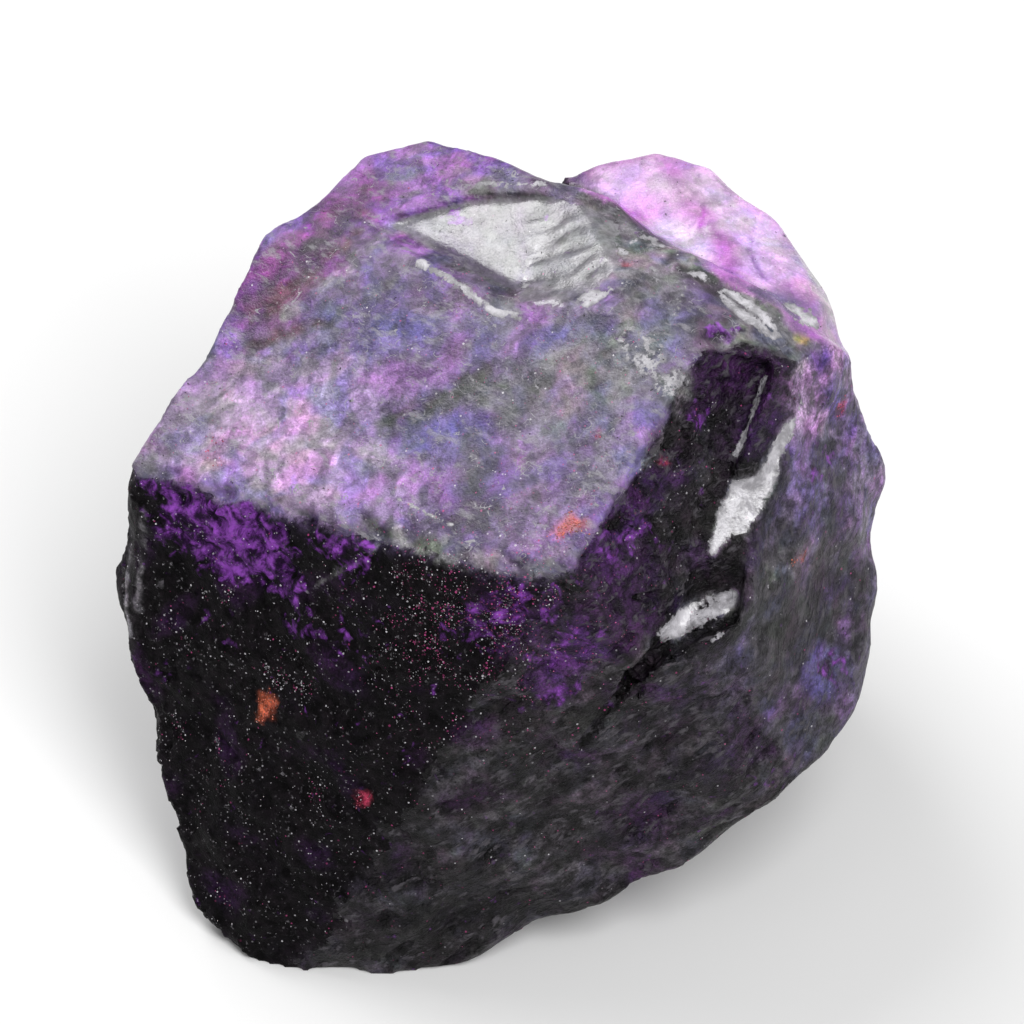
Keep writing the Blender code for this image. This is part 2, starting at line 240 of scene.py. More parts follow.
# Where clear violet shows in broken patches: the part, the middle, the length and width, and
# the turn and the strength.
Flush = namedtuple("Flush", "part middle size turn strength")
FLUSHES = {
    "pocket": Flush("left_wall", (-21.8, -1.9), (14.0, 7.0), -24.0, 0.95),
    "pocket_edge": Flush("left_wall", (-23.0, 1.0), (12.0, 3.0), -20.0, 0.9),
    "pocket_foot": Flush("left_wall", (-18.0, -5.2), (8.0, 3.6), -20.0, 0.75),
    "pocket_right": Flush("left_wall", (-12.8, -2.6), (7.0, 3.6), -30.0, 0.6),
    "wall_left": Flush("left_wall", (-27.0, -12.0), (3.0, 3.0), 0.0, 0.35),
    "wall_middle": Flush("left_wall", (-14.0, -9.0), (9.0, 4.0), -20.0, 0.35),
    "corner": Flush("stone", (-0.5, -7.6), (11.0, 4.6), 15.0, 0.6),
    "front_high": Flush("front_wall", (4.2, -9.6), (6.0, 3.4), 15.0, 0.75),
    "front_low": Flush("front_wall", (3.0, -13.8), (5.4, 2.4), 32.0, 0.7),
    "front_right": Flush("front_wall", (22.0, -19.6), (7.0, 3.0), 35.0, 0.45),
    "corner_top": Flush("riser", (7.4, -2.4), (3.4, 4.6), 60.0, 0.6),
    "riser_high": Flush("notch", (13.9, 7.8), (2.6, 3.6), 0.0, 0.55),
    "riser_spur": Flush("notch", (18.2, 7.0), (2.2, 4.4), -20.0, 0.5),
    "riser_low": Flush("notch", (9.4, -1.6), (2.8, 2.8), 0.0, 0.6),
    "pit": Flush("stone", (15.4, 13.2), (3.6, 2.8), -20.0, 0.8),
    "flank": Flush("flank", (23.0, 3.6), (3.4, 4.4), 0.0, 0.4),
    "flank_foot": Flush("flank", (24.8, -12.4), (2.6, 3.4), 0.0, 0.6),
    "flake_left": Flush("flake", (-4.5, 23.0), (2.6, 2.0), 20.0, 0.6),
    "rim": Flush("top", (-20.5, 20.0), (7.0, 2.0), 45.0, 0.5),
    "tread": Flush("tread", (17.4, -0.8), (1.6, 2.4), 0.0, 0.4),
}

# A field of colour in the skin: the rim drawn round it, its colour and its strength.
Field = namedtuple("Field", "rim colour strength")
FIELDS = {
    "flake_riser": Field(
        ((-5.6, 21.0), (-3.5, 20.6), (0.5, 17.1), (0.2, 15.3), (-3.7, 18.0), (-6.5, 19.4)),
        "dusk_shade", 0.95,
    ),
    "ledge_shard": Field(
        (
            (15.4, 16.6), (17.0, 16.4), (19.0, 14.5), (20.2, 12.9), (19.4, 12.5), (16.9, 14.3),
            (15.7, 15.5),
        ),
        "chalk", 0.9,
    ),
    "outer_shard": Field(
        ((20.2, 15.8), (21.4, 15.6), (23.1, 14.4), (23.0, 13.6), (21.6, 13.9), (20.4, 15.0)),
        "chalk", 0.95,
    ),
    # Painted highlight: the lower tread is laid in white in place of the light that it reflects.
    "lower_tread_highlight": Field(
        (
            (10.6, -9.0), (12.2, -7.5), (14.0, -6.5), (16.8, -5.8), (16.5, -6.9), (14.8, -7.9),
            (12.8, -9.2), (11.2, -9.6),
        ),
        "chalk", 1.0,
    ),
    "seam_shard": Field(
        ((4.9, 15.9), (6.0, 16.6), (7.6, 16.7), (6.4, 15.5), (5.3, 15.1)),
        "chalk", 0.85,
    ),
    "shoulder_shard": Field(
        ((11.4, 13.3), (12.0, 14.2), (12.9, 17.0), (12.4, 16.8), (11.4, 14.8)),
        "ice", 0.6,
    ),
}

# A line in the skin: the points it runs through, its half width, its colour, how strong it is,
# how far it stands out and how ragged it is.
Stroke = namedtuple("Stroke", "points width colour strength lift ragged")
STROKES = {
    # Painted highlight: the bright edge below the flake.
    "flake_edge_highlight": Stroke(
        (
            (-6.9, 19.1, 6.7), (-4.7, 17.7, 8.2), (-2.8, 16.2, 9.7), (-1.2, 15.0, 11.0),
            (0.5, 14.7, 11.4),
        ),
        0.34, "chalk", 0.85, 0.08, 0.45,
    ),
    "flake_foot": Stroke(
        ((-5.4, 21.1, 5.0), (-3.4, 20.7, 5.6), (0.3, 17.2, 9.0)),
        0.16, "soot", 0.8, -0.05, 0.5,
    ),
    "flake_crease": Stroke(
        ((-8.6, 23.6, 1.6), (-6.4, 22.6, 2.8), (-4.2, 22.2, 3.6), (-2.4, 22.4, 3.9)),
        0.16, "slate", 0.8, -0.05, 0.6,
    ),
    "flake_rib": Stroke(
        ((-2.4, 22.6, 4.0), (-0.6, 20.6, 5.6), (0.6, 18.6, 7.4)),
        0.14, "ash", 0.6, 0.04, 0.5,
    ),
    "flake_vein": Stroke(
        ((-0.4, 23.8, 3.6), (0.0, 21.8, 5.0), (0.9, 20.0, 6.4)),
        0.14, "ash", 0.6, 0.04, 0.5,
    ),
    # Painted highlight: the bright band where the wall between the flake and the fan faces the light.
    "valley_highlight": Stroke(
        ((3.8, 23.6, 4.9), (2.5, 21.6, 5.9), (1.4, 19.3, 7.1), (1.0, 16.4, 9.2)),
        0.35, "chalk", 0.65, 0.0, 0.6,
    ),
    "rim_light": Stroke(
        ((-5.1, 25.7, 1.4), (-2.9, 25.3, 2.3), (-0.5, 25.2, 3.1), (2.6, 25.3, 3.8)),
        0.26, "chalk", 0.75, 0.1, 0.5,
    ),
    "rim_dark": Stroke(
        ((-3.1, 24.8, 2.8), (-0.9, 24.6, 3.6), (1.4, 24.4, 4.4), (2.8, 24.2, 4.2)),
        0.3, "moss", 0.9, -0.05, 0.4,
    ),
    "dark_mark": Stroke(
        ((-9.4, 6.3, 11.6), (-6.6, 7.6, 12.2), (-3.6, 9.2, 12.8), (-2.0, 10.8, 12.6)),
        0.9, "moss_shade", 0.95, -0.05, 0.7,
    ),
    "dark_spill": Stroke(
        ((-4.0, 9.4, 12.6), (-1.0, 9.6, 13.6), (2.0, 9.0, 14.8)),
        0.5, "moss", 0.8, 0.0, 1.0,
    ),
    "rust_line": Stroke(
        ((-19.8, 14.6, 4.0), (-16.6, 17.6, 4.2), (-13.4, 20.4, 4.0), (-11.4, 23.0, 3.0)),
        0.75, "rust", 0.9, -0.06, 1.0,
    ),
    "rust_foot": Stroke(
        ((-20.4, 12.6, 4.4), (-17.2, 13.8, 5.4), (-14.0, 14.6, 6.6)),
        0.5, "rust", 0.8, -0.06, 1.0,
    ),
    "dark_rim": Stroke(
        ((-18.8, 17.8, 3.0), (-15.6, 20.4, 2.6), (-12.4, 22.6, 2.2)),
        0.45, "plum", 0.8, -0.08, 1.0,
    ),
    "magenta_line": Stroke(
        ((-20.8, 17.0, 3.0), (-18.2, 20.0, 2.0), (-14.8, 22.8, 1.2), (-11.0, 24.8, 1.0)),
        0.8, "fuchsia_shade", 0.8, 0.05, 1.0,
    ),
    "rose_line": Stroke(
        ((-12.6, 23.6, 1.8), (-10.2, 22.0, 3.4), (-8.6, 21.2, 4.4)),
        0.5, "fuchsia_shade", 0.6, 0.0, 1.0,
    ),
    "pale_streak": Stroke(
        ((-17.4, 15.0, 5.0), (-13.6, 17.8, 5.4), (-11.0, 20.2, 5.0), (-8.8, 22.6, 3.0)),
        0.6, "ice", 0.6, 0.05, 1.0,
    ),
    "pale_branch": Stroke(
        ((-14.0, 15.2, 6.8), (-10.8, 16.6, 7.2), (-8.2, 18.4, 6.8)),
        0.5, "ash", 0.8, 0.0, 1.0,
    ),
    "crest_streak": Stroke(
        ((-9.4, 26.2, 0.2), (-6.6, 26.8, 0.0), (-3.4, 26.6, 1.0)),
        0.4, "ash", 0.8, 0.05, 1.0,
    ),
    "crest_dark": Stroke(
        ((-8.6, 24.6, 1.6), (-5.8, 25.4, 1.4), (-3.6, 25.2, 2.0)),
        0.35, "slate", 0.8, -0.05, 1.0,
    ),
    "lens": Stroke(
        ((5.1, 15.7, 12.8), (6.3, 16.3, 13.0), (7.6, 16.4, 13.2)),
        0.14, "soot", 0.7, -0.08, 0.3,
    ),
    "seam_white": Stroke(
        ((8.4, 19.6, 9.0), (10.2, 20.4, 8.0), (11.6, 19.4, 9.4)),
        0.8, "chalk", 0.8, 0.12, 1.0,
    ),
    "seam_foot": Stroke(
        ((9.0, 17.6, 11.0), (12.0, 18.2, 11.0), (15.0, 17.2, 11.8)),
        0.5, "chalk", 0.8, 0.1, 1.0,
    ),
    "seam_grey": Stroke(
        ((7.0, 17.6, 10.8), (9.6, 18.8, 9.8), (12.8, 18.8, 10.0)),
        1.2, "ice", 0.8, 0.05, 1.0,
    ),
    "seam_dark": Stroke(
        ((10.4, 19.0, 9.0), (13.0, 17.8, 11.0), (15.2, 15.4, 12.6)),
        0.2, "slate", 0.8, -0.1, 0.8,
    ),
    "shard_rib": Stroke(
        ((15.9, 16.3, 12.3), (17.6, 14.9, 13.8), (19.4, 13.1, 14.3)),
        0.12, "slate", 0.8, -0.08, 0.3,
    ),
    "shard_foot": Stroke(
        ((15.3, 15.6, 12.9), (16.7, 14.0, 14.4), (19.2, 12.2, 15.0), (20.6, 12.4, 14.4)),
        0.18, "slate", 0.8, -0.1, 0.4,
    ),
    # Painted shade: a dark line at the lobe's foot.
    "lobe_foot_shade": Stroke(
        ((16.4, 17.5, 11.6), (18.1, 16.6, 12.3), (20.0, 15.5, 13.1), (21.4, 14.5, 12.2)),
        0.26, "dusk", 0.9, -0.15, 0.4,
    ),
    "lobe_crease": Stroke(
        ((14.9, 23.6, 3.0), (14.4, 21.6, 5.6), (15.4, 19.6, 8.4), (17.0, 18.0, 10.4)),
        0.2, "fuchsia", 0.8, -0.1, 0.5,
    ),
    "lobe_line": Stroke(
        ((18.6, 22.0, 4.0), (18.0, 19.6, 7.4), (19.2, 17.6, 9.8)),
        0.16, "orchid", 0.7, -0.08, 0.5,
    ),
    "v_line": Stroke(
        ((11.4, 12.5, 16.9), (12.1, 14.7, 15.4), (13.0, 17.1, 12.9)),
        0.2, "chalk", 0.6, 0.05, 0.6,
    ),
    # Painted highlight: the bright sliver of the spur's steep wall.
    "spur_highlight": Stroke(
        ((18.7, 9.9, 14.8), (18.2, 8.4, 14.8), (17.5, 6.4, 14.8), (16.6, 4.3, 14.8)),
        0.2, "chalk", 1.3, 0.05, 0.4,
    ),
    "spur_crumbs": Stroke(
        ((21.0, 9.0, 13.0), (21.3, 8.0, 13.0), (21.2, 7.0, 13.4)),
        0.4, "chalk", 0.8, 0.1, 1.0,
    ),
    # Painted shade: black in the crack across the upper tread.
    "tread_crack": Stroke(
        ((17.2, 1.0, 15.0), (16.6, -0.4, 15.0), (16.2, -1.8, 15.0)),
        0.12, "black", 1.0, -0.15, 0.4,
    ),
    # Painted highlight: the bright sliver on the edge beside the lower tread.
    "sliver_highlight": Stroke(((15.0, -9.4, 14.6), (15.9, -8.6, 14.8)), 0.3, "chalk", 0.7, 0.05, 0.6),
    # Painted shade: black in the crack below the notch.
    "crack_mouth": Stroke(
        ((17.0, -7.6, 15.8), (14.6, -9.2, 15.8), (12.6, -9.9, 16.0), (10.6, -9.6, 16.0)),
        0.5, "black", 1.0, -0.25, 0.3,
    ),
    "crack_middle": Stroke(
        ((12.4, -10.2, 15.9), (10.4, -10.8, 15.4), (8.6, -12.8, 13.8)),
        0.7, "black", 1.2, -0.5, 0.15,
    ),
    "crack_tail": Stroke(
        ((8.8, -12.6, 14.0), (7.2, -14.8, 12.4), (5.2, -17.6, 10.2)),
        0.4, "black", 1.2, -0.5, 0.15,
    ),
    "step_line": Stroke(
        ((12.6, 8.2, 18.0), (10.9, 4.6, 19.0), (8.6, 0.4, 20.2), (6.4, -2.6, 21.0)),
        0.22, "chalk", 0.55, 0.0, 1.0,
    ),
    "pocket_ledge": Stroke(
        (
            (-15.5, -5.9, 10.2), (-13.6, -4.7, 12.0), (-12.1, -4.0, 13.3), (-10.5, -3.0, 14.3),
            (-9.5, -2.1, 15.0),
        ),
        0.14, "ash", 0.9, 0.15, 1.0,
    ),
    "frosted_rim": Stroke(
        (
            (-10.4, -0.9, 14.6), (-6.8, -2.3, 16.4), (-3.8, -3.2, 18.2), (-0.9, -3.8, 19.8),
            (2.0, -4.2, 21.0),
        ),
        0.8, "sage", 0.8, 0.0, 1.0,
    ),
    "frosted_ground": Stroke(
        ((8.6, 13.4, 15.6), (10.2, 11.0, 17.0), (12.0, 9.4, 17.8)),
        1.9, "ash", 0.9, 0.0, 1.0,
    ),
    "frosted_patch": Stroke(
        ((8.6, 13.0, 15.8), (10.2, 10.8, 17.2), (12.2, 9.2, 18.0)),
        1.5, "chalk", 0.6, 0.0, 1.0,
    ),
    "frosted_tail": Stroke(
        ((12.6, 8.6, 18.0), (11.2, 5.6, 18.8), (9.4, 2.2, 19.8)),
        0.45, "ash", 0.8, 0.0, 1.0,
    ),
    "bruise_high": Stroke(
        ((-28.0, 0.2, 5.0), (-28.6, -3.4, 3.0), (-29.2, -7.6, 1.0)),
        0.3, "ash", 0.9, 0.1, 1.0,
    ),
    "bruise_side": Stroke(
        ((-29.8, -1.4, 2.0), (-30.2, -5.2, 0.4), (-30.0, -9.4, -1.0)),
        0.24, "ice", 0.8, 0.1, 1.0,
    ),
    "fine_scratch": Stroke(((-8.6, 1.1, 14.2), (-4.0, -1.2, 17.4)), 0.09, "chalk", 0.7, -0.03, 0.0),
    "second_scratch": Stroke(((-7.4, -0.4, 15.4), (-4.6, -1.6, 17.4)), 0.07, "chalk", 0.4, -0.02, 0.0),
    "flank_scratch": Stroke(
        ((22.4, -3.6, 9.6), (22.8, -5.2, 9.0), (23.2, -6.6, 8.4)),
        0.2, "black", 0.9, -0.12, 0.3,
    ),
    "amber_speck": Stroke(((21.2, 13.0, 13.6), (21.8, 12.8, 13.4)), 0.3, "amber", 1.0, 0.05, 0.5),
}

# A patch of grains: its middle in the drawing, its radius, the kind of grain and how thick.
Patch = namedtuple("Patch", "middle radius kind cover")
PATCHES = {
    "orange_top": Patch((4.5, -0.9, 20.2), 1.1, "orange", 0.8),
    "orange_wall": Patch((-19.0, -15.1, 4.2), 1.0, "orange", 0.8),
    "orange_flank": Patch((21.4, -3.5, 10.5), 0.5, "orange", 0.6),
    "red_flank": Patch((24.7, 7.6, 8.8), 0.9, "red", 0.7),
    "red_wall": Patch((-11.5, -22.0, 4.8), 0.7, "red", 0.7),
    "red_riser": Patch((11.2, 3.4, 18.1), 0.6, "red", 0.5),
    "rose_seam": Patch((8.7, 18.8, 11.0), 0.6, "red", 0.5),
    "rose_top": Patch((6.1, 5.3, 17.9), 0.4, "red", 0.5),
    "rose_tip": Patch((-22.5, 4.3, 8.0), 1.1, "red", 0.2),
}


def linear_face(face):
    """A face as its point and its unit normal."""
    point, facing = face
    return np.array(point), np.array(facing) / np.linalg.norm(facing)


def standing_turn():
    """The turn that stands the drawing up."""
    return Matrix.Rotation(math.radians(90.0 - VIEW_ELEVATION), 3, "X")


def drawn(places):
    """Places in metres on the standing stone, in the drawing's millimetres."""
    return (places / MM - np.array(DRAWING_ORIGIN)) @ np.array(standing_turn())


def smoothstep(low, high, values):
    share = np.clip((values - low) / (high - low), 0.0, 1.0)
    return share * share * (3.0 - 2.0 * share)


def cell_arrows(cells, seed):
    """A fixed arrow for each whole-numbered cell, with sides from -1 to 1."""
    mixed = cells * CELL_PRIMES
    mixed = mixed[..., 0] ^ mixed[..., 1] ^ mixed[..., 2] ^ seed * SEED_PRIME
    return ARROWS[mixed % len(ARROWS)]


def ripple(places, wavelength, seed=0):
    """Smooth noise of one wavelength at each place, from about -1 to 1."""
    scaled = places / wavelength
    cells = np.floor(scaled).astype(np.int64)
    part = scaled - cells
    fade = part * part * part * (part * (part * 6.0 - 15.0) + 10.0)
    total = np.zeros(len(places))
    for corner in itertools.product((0, 1), repeat=3):
        weight = np.prod(np.where(corner, fade, 1.0 - fade), axis=1)
        total += weight * np.sum(cell_arrows(cells + corner, seed) * (part - corner), axis=1)
    return 1.9 * total


def crystals(places, size, seed=0):
    """Heights of small tilted facets, like broken grains, from about -1 to 1."""
    scaled = places / size
    cells = np.floor(scaled).astype(np.int64)
    nearest = np.full(len(places), np.inf)
    height = np.zeros(len(places))
    for corner in itertools.product((-1, 0, 1), repeat=3):
        arrows = cell_arrows(cells + corner, seed)
        offset = scaled - cells - corner - 0.5 - 0.45 * arrows
        distance = np.sum(offset * offset, axis=1)
        closer = distance < nearest
        nearest = np.where(closer, distance, nearest)
        tilt = arrows[:, (1, 2, 0)]
        height = np.where(closer, 0.7 * arrows[:, 0] + np.sum(tilt * offset, axis=1), height)
    return height


def stretched(places, along, stretch):
    """Places squeezed along one direction, so that noise read there runs along it."""
    way = np.array(along) / np.linalg.norm(along)
    return places - np.outer(places @ way, way) * (1.0 - 1.0 / stretch)


def wandering(places, wavelength, reach, seed):
    """Places moved about by noise, so that borders read there wander."""
    moves = [ripple(places, wavelength, seed + number) for number in range(3)]
    return places + reach * np.stack(moves, axis=1)


def height_over(face, places):
    """How far each place stands in front of a face."""
    point, normal = linear_face(face)
    return (places - point) @ normal


def near(face, places, reach=0.35):
    """Whether each place lies on a face, from 0 to 1."""
    return 1.0 - smoothstep(reach, 1.8 * reach, np.abs(height_over(face, places)))


def between(values, low, high, soft=0.6):
    """Whether each value lies between two limits, from 0 to 1."""
    above = smoothstep(low - soft, low + soft, values)
    return above * (1.0 - smoothstep(high - soft, high + soft, values))


def distance_to_run(places, points):
    """How far each place is from a run of points."""
    nearest = np.full(len(places), np.inf)
    for start, end in zip(points, points[1:]):
        start, end = np.array(start), np.array(end)
        along = np.clip((places - start) @ (end - start) / np.sum((end - start) ** 2), 0.0, 1.0)
        offset = places - start - along[:, None] * (end - start)
        nearest = np.minimum(nearest, np.linalg.norm(offset, axis=1))
    return nearest


def within(rim, places, soft=0.4):
    """Whether each place lies within a drawn rim, from 0 to 1."""
    closed = rim + rim[:1]
    x, y = places[:, 0], places[:, 1]
    inside = np.zeros(len(places), dtype=bool)
    for start, end in zip(closed, closed[1:]):
        crosses = (start[1] > y) != (end[1] > y)
        reach = start[0] + (y - start[1]) * (end[0] - start[0]) / ((end[1] - start[1]) or 1.0)
        inside ^= crosses & (x < reach)
    distance = distance_to_run(places[:, :2], closed)
    return smoothstep(-soft, soft, np.where(inside, distance, -distance))


def parts_of_stone(places):
    """How much each place belongs to each part of the stone, from 0 to 1."""
    bent = wandering(wandering(places, 4.6, 0.7, 4), 1.6, 0.3, 1)
    heights = {name: height_over(face, bent) for name, face in FACES.items()}
    highest = np.max(list(heights.values()), axis=0)
    share = {name: np.exp(5.0 * (height - highest)) for name, height in heights.items()}
    total = np.sum(list(share.values()), axis=0)
    share = {name: part / total for name, part in share.items()}
    share["edge"] = 1.0 - np.max(list(share.values()), axis=0)
    x, y = bent[:, 0], bent[:, 1]
    outer = np.max([height_over(face, places) for face in FACES.values()], axis=0)
    sunk = smoothstep(-0.35, -0.8, outer)
    share["rest"] = smoothstep(-2.6, -4.2, outer + 0.2 * (highest - outer))
    share["crack"] = sunk * (1.0 - smoothstep(0.7, 1.3, distance_to_run(places, CRACK)))
    within_notch = within(NOTCH_RIM, wandering(places, 1.9, 0.5, 7))
    within_notch = within_notch * smoothstep(4.0, 7.0, places[:, 2])
    share["notch"] = np.maximum(within_notch, share["crack"])
    share["riser"] = share["notch"] * near(RISER, places)
    treads = np.maximum(near(UPPER_TREAD, places), near(LOWER_TREAD, places))
    treads = np.maximum(treads, near(SPUR_LEDGE, places, 0.2))
    treads *= np.maximum(within(UPPER_TREAD_RIM, places, 0.3), within(LOWER_TREAD_RIM, places, 0.3))
    share["tread"] = share["notch"] * treads * (1.0 - share["riser"]) * (1.0 - share["crack"])
    thin_edge = smoothstep(23.0, 25.5, x) * smoothstep(-3.0, 2.0, y)
    share["rest"] *= 1.0 - thin_edge * smoothstep(-3.0, 0.0, places[:, 2])
    share["stone"] = 1.0 - share["rest"]
    share["front_side"] = smoothstep(-1.5, 1.5, heights["left_wall"] - heights["front_wall"])
    upper = sunk * between(x, -11.0, 10.5) * between(y, 15.4, 26.0)
    share["fan"] = within(FAN_RIM, bent, 0.7) * share["stone"]
    share["flake"] = upper * near(FLAKE, places) * (1.0 - share["fan"])
    share["ledge"] = sunk * near(LEDGE, places, 0.45) * between(x, 14.5, 24.5) * between(y, 12.8, 17.6)
    share["lobe"] = smoothstep(-0.6, 0.1, height_over(LOBE_SEAM, bent))
    share["hidden"] = share["rest"] * (1.0 - share["lobe"])
    share["flesh"] = 1.0 - np.clip(share["notch"] + share["lobe"] + share["rest"], 0.0, 1.0)
    return share


def cloud_cover(cloud, bent, share):
    """How much of a cloud or a flush each place takes."""
    turn = math.radians(cloud.turn)
    x = bent[:, 0] - cloud.middle[0]
    y = bent[:, 1] - cloud.middle[1]
    along = (x * math.cos(turn) + y * math.sin(turn)) / (0.5 * cloud.size[0])
    across = (y * math.cos(turn) - x * math.sin(turn)) / (0.5 * cloud.size[1])
    inside = 1.0 - smoothstep(0.5, 1.25, np.hypot(along, across))
    return cloud.strength * inside * share[cloud.part]


def line_noise(places):
    """The moves, the swelling and the gaps that all the lines in the skin share."""
    moves = wandering(wandering(places, 2.2, 0.3, 51), 0.8, 0.12, 54) - places
    swelling = 0.6 * ripple(places, 1.5, 57)
    gaps = smoothstep(-0.7, 0.3, ripple(places, 1.1, 58))
    return moves, swelling, gaps


def stroke_cover(stroke, places, noise):
    """How much of a line each place takes, broken up along it where it is ragged."""
    moves, swelling, gaps = noise
    flat = (1.0, 1.0, 0.4)
    distance = distance_to_run((places + stroke.ragged * moves) * flat, np.array(stroke.points) * flat)
    width = stroke.width * (1.0 + stroke.ragged * swelling)
    inside = 1.0 - smoothstep(0.5 * width, 1.2 * width + 0.08, distance)
    return inside * (1.0 - stroke.ragged * (1.0 - gaps))


def painted(colour, cover, shade):
    """A colour at each place, painted over with a shade."""
    return colour + cover[:, None] * (np.array(shade) - colour)


def fan_wave(places):
    """The soft waves that run across the fan, from -1 to 1."""
    rise = places[:, 1] * math.cos(FAN_TURN) - places[:, 0] * math.sin(FAN_TURN)
    wave = np.sin(math.tau * rise / FAN_WAVELENGTH + 2.2 * ripple(places, 2.6, 22))
    return wave * smoothstep(-0.8, 0.5, ripple(places, 1.8, 28))


# The colours that are laid on in the finish, with a crisp border, and not on the vertices.
CRISP = ("chalk",)


def crisp_fields(places, share, noise):
    """The chalky white, with the painted highlights of the treads, the flake and the bright edges, and
    the clear violet at each place, whose borders the finish makes crisp.
    """
    seen = share["stone"]
    # Painted highlight: the treads, and a little of the flake, are laid in white in place of the light
    # that they reflect.
    chalk = 0.85 * share["tread"] + 0.20 * share["flake"]
    moves = noise[0]
    for field in FIELDS.values():
        if field.colour in CRISP:
            cover = field.strength * seen * within(field.rim, places + 0.5 * moves, 0.25)
            chalk = np.maximum(chalk, cover)
    for stroke in STROKES.values():
        cover = seen * stroke.strength * stroke_cover(stroke, places, noise)
        if stroke.colour in CRISP:
            chalk = np.maximum(chalk, cover)
        else:
            chalk = chalk * (1.0 - cover)
    bent = wandering(places, 3.0, 0.8, 71)
    violet = np.zeros(len(places))
    for flush in FLUSHES.values():
        violet = np.maximum(violet, cloud_cover(flush, bent, share))
    return np.clip(chalk, 0.0, 1.0), np.clip(violet, 0.0, 1.0)


def brush_top(colour, places, share, palette):
    """Dapples and streaks the top."""
    dapple = ripple(places, 2.6, 41)
    streaks = ripple(stretched(places, TOP_RUN, 4.0), 1.0, 48)
    top = share["flesh"] * share["top"]
    colour = painted(colour, 0.5 * top * smoothstep(0.15, 0.7, dapple), palette["orchid"])
    colour = painted(colour, 0.45 * top * smoothstep(-0.15, -0.8, dapple), palette["slate"])
    return painted(colour, 0.35 * top * smoothstep(0.1, 0.8, streaks), palette["ash"])


def brush_walls(colour, places, share, palette):
    """Gives the front a painted sheen and painted shade in its dimples, the flank painted light and
    shade along its flutes, and the walls their stains.
    """
    # Painted sheen: the grey on the front stands in for the floor's reflection.
    run = stretched(places, FRONT_RUN, 2.6)
    sheen = smoothstep(-0.4, 0.9, ripple(run, 2.0, 44)) * smoothstep(-0.9, 0.3, ripple(run, 0.8, 45))
    colour = painted(colour, share["front_wall"] * sheen, palette["pewter"])
    # Painted shade: the front is laid darker in the dimples that its relief sinks.
    pits = smoothstep(0.1, 0.7, ripple(stretched(places, FRONT_RUN, 2.4), 1.5, 14))
    colour = painted(colour, 0.8 * share["front_wall"] * pits, palette["soot"])
    # Painted light and shade: the flank is laid lighter on the crests of its flutes and darker in their
    # grooves.
    flutes = stretched(places, FLANK_RUN, 3.0)
    lit_crests = smoothstep(0.0, 0.8, ripple(flutes, 2.0, 46))
    shaded_grooves = smoothstep(0.0, -0.8, ripple(flutes, 1.7, 47))
    colour = painted(colour, 0.6 * share["flank"] * lit_crests, palette["dusk"])
    colour = painted(colour, 0.7 * share["flank"] * shaded_grooves, palette["soot"])
    walls = share["front_wall"] + share["flank"] + 0.6 * share["left_wall"]
    stains = smoothstep(0.2, 0.8, ripple(places, 4.0, 42))
    return painted(colour, 0.7 * walls * stains, palette["plum"])


def brush_breaks(colour, places, bent, share, palette):
    """Lays the colours of the fresh breaks, the hidden faces and the lobe over the rest."""
    for name in ("rest", "notch", "riser", "fan", "flake", "tread", "ledge", "lobe"):
        colour = painted(colour, share[name], palette[GROUND[name]])
    bands = ripple(stretched(places, LOBE_RUN, 4.0), 2.4, 49)
    colour = painted(colour, 0.8 * share["lobe"] * smoothstep(0.1, 0.8, bands), palette["orchid"])
    colour = painted(colour, 0.6 * share["lobe"] * smoothstep(-0.2, -0.9, bands), palette["pearl"])
    low_lobe = 1.0 - smoothstep(0.2, 4.5, height_over(LOBE_SEAM, bent))
    behind = low_lobe * smoothstep(-1.0, -3.0, places[:, 2])
    colour = painted(colour, 0.9 * share["lobe"] * behind, palette["plum"])
    stripe = smoothstep(0.1, -0.9, fan_wave(places))
    return painted(colour, 0.8 * share["fan"] * stripe, palette["slate"])


def brush_hidden(colour, places, share, palette):
    """Gives the hidden faces plum and violet runs, and runs of painted grey sheen."""
    rest = share["hidden"]
    plum_spread = smoothstep(0.1, 0.8, ripple(places, 7.0, 50))
    violet_spread = smoothstep(0.3, 0.8, ripple(places, 4.4, 55))
    # Painted sheen: grey runs over the hidden faces.
    sheen_spread = smoothstep(0.0, 0.9, ripple(stretched(places, HIDDEN_RUN, 3.0), 2.2, 56))
    colour = painted(colour, 0.8 * rest * plum_spread, palette["plum"])
    colour = painted(colour, 0.5 * rest * violet_spread, palette["violet"])
    return painted(colour, 0.7 * rest * sheen_spread, palette["pewter"])


def draw_markings(colour, places, share, palette):
    """Draws the fields and the lines whose borders need not be crisp."""
    noise = line_noise(places)
    for field in FIELDS.values():
        if field.colour not in CRISP:
            cover = field.strength * share["stone"] * within(field.rim, places + 0.5 * noise[0], 0.25)
            colour = painted(colour, cover, palette[field.colour])
    for stroke in STROKES.values():
        if stroke.colour not in CRISP:
            cover = stroke.strength * share["stone"] * stroke_cover(stroke, places, noise)
            colour = painted(colour, cover, palette[stroke.colour])
    return colour


def stone_colour(places, share, palette):
    """The stone's colour at each place, before its finest grain."""
    bent = wandering(wandering(places, 4.5, 1.2, 31), 1.3, 0.4, 34)
    colour = np.zeros((len(places), 3))
    for name in FACES:
        colour += share[name][:, None] * np.array(palette[GROUND[name]])
    colour = brush_top(colour, places, share, palette)
    colour = brush_walls(colour, places, share, palette)
    colour = brush_breaks(colour, places, bent, share, palette)
    colour = brush_hidden(colour, places, share, palette)
    for cloud in CLOUDS.values():
        cover = (1.0 - share["hidden"]) * cloud_cover(cloud, bent, share)
        colour = painted(colour, cover, palette[cloud.colour])
    worn = share["edge"] * 2.0 * (share["top"] + share["shoulder"])
    worn = worn * smoothstep(-0.2, 0.6, ripple(places, 1.8, 43))
    colour = painted(colour, 0.6 * np.clip(worn, 0.0, 1.0) * share["flesh"], palette["ash"])
    return draw_markings(colour, places, share, palette)


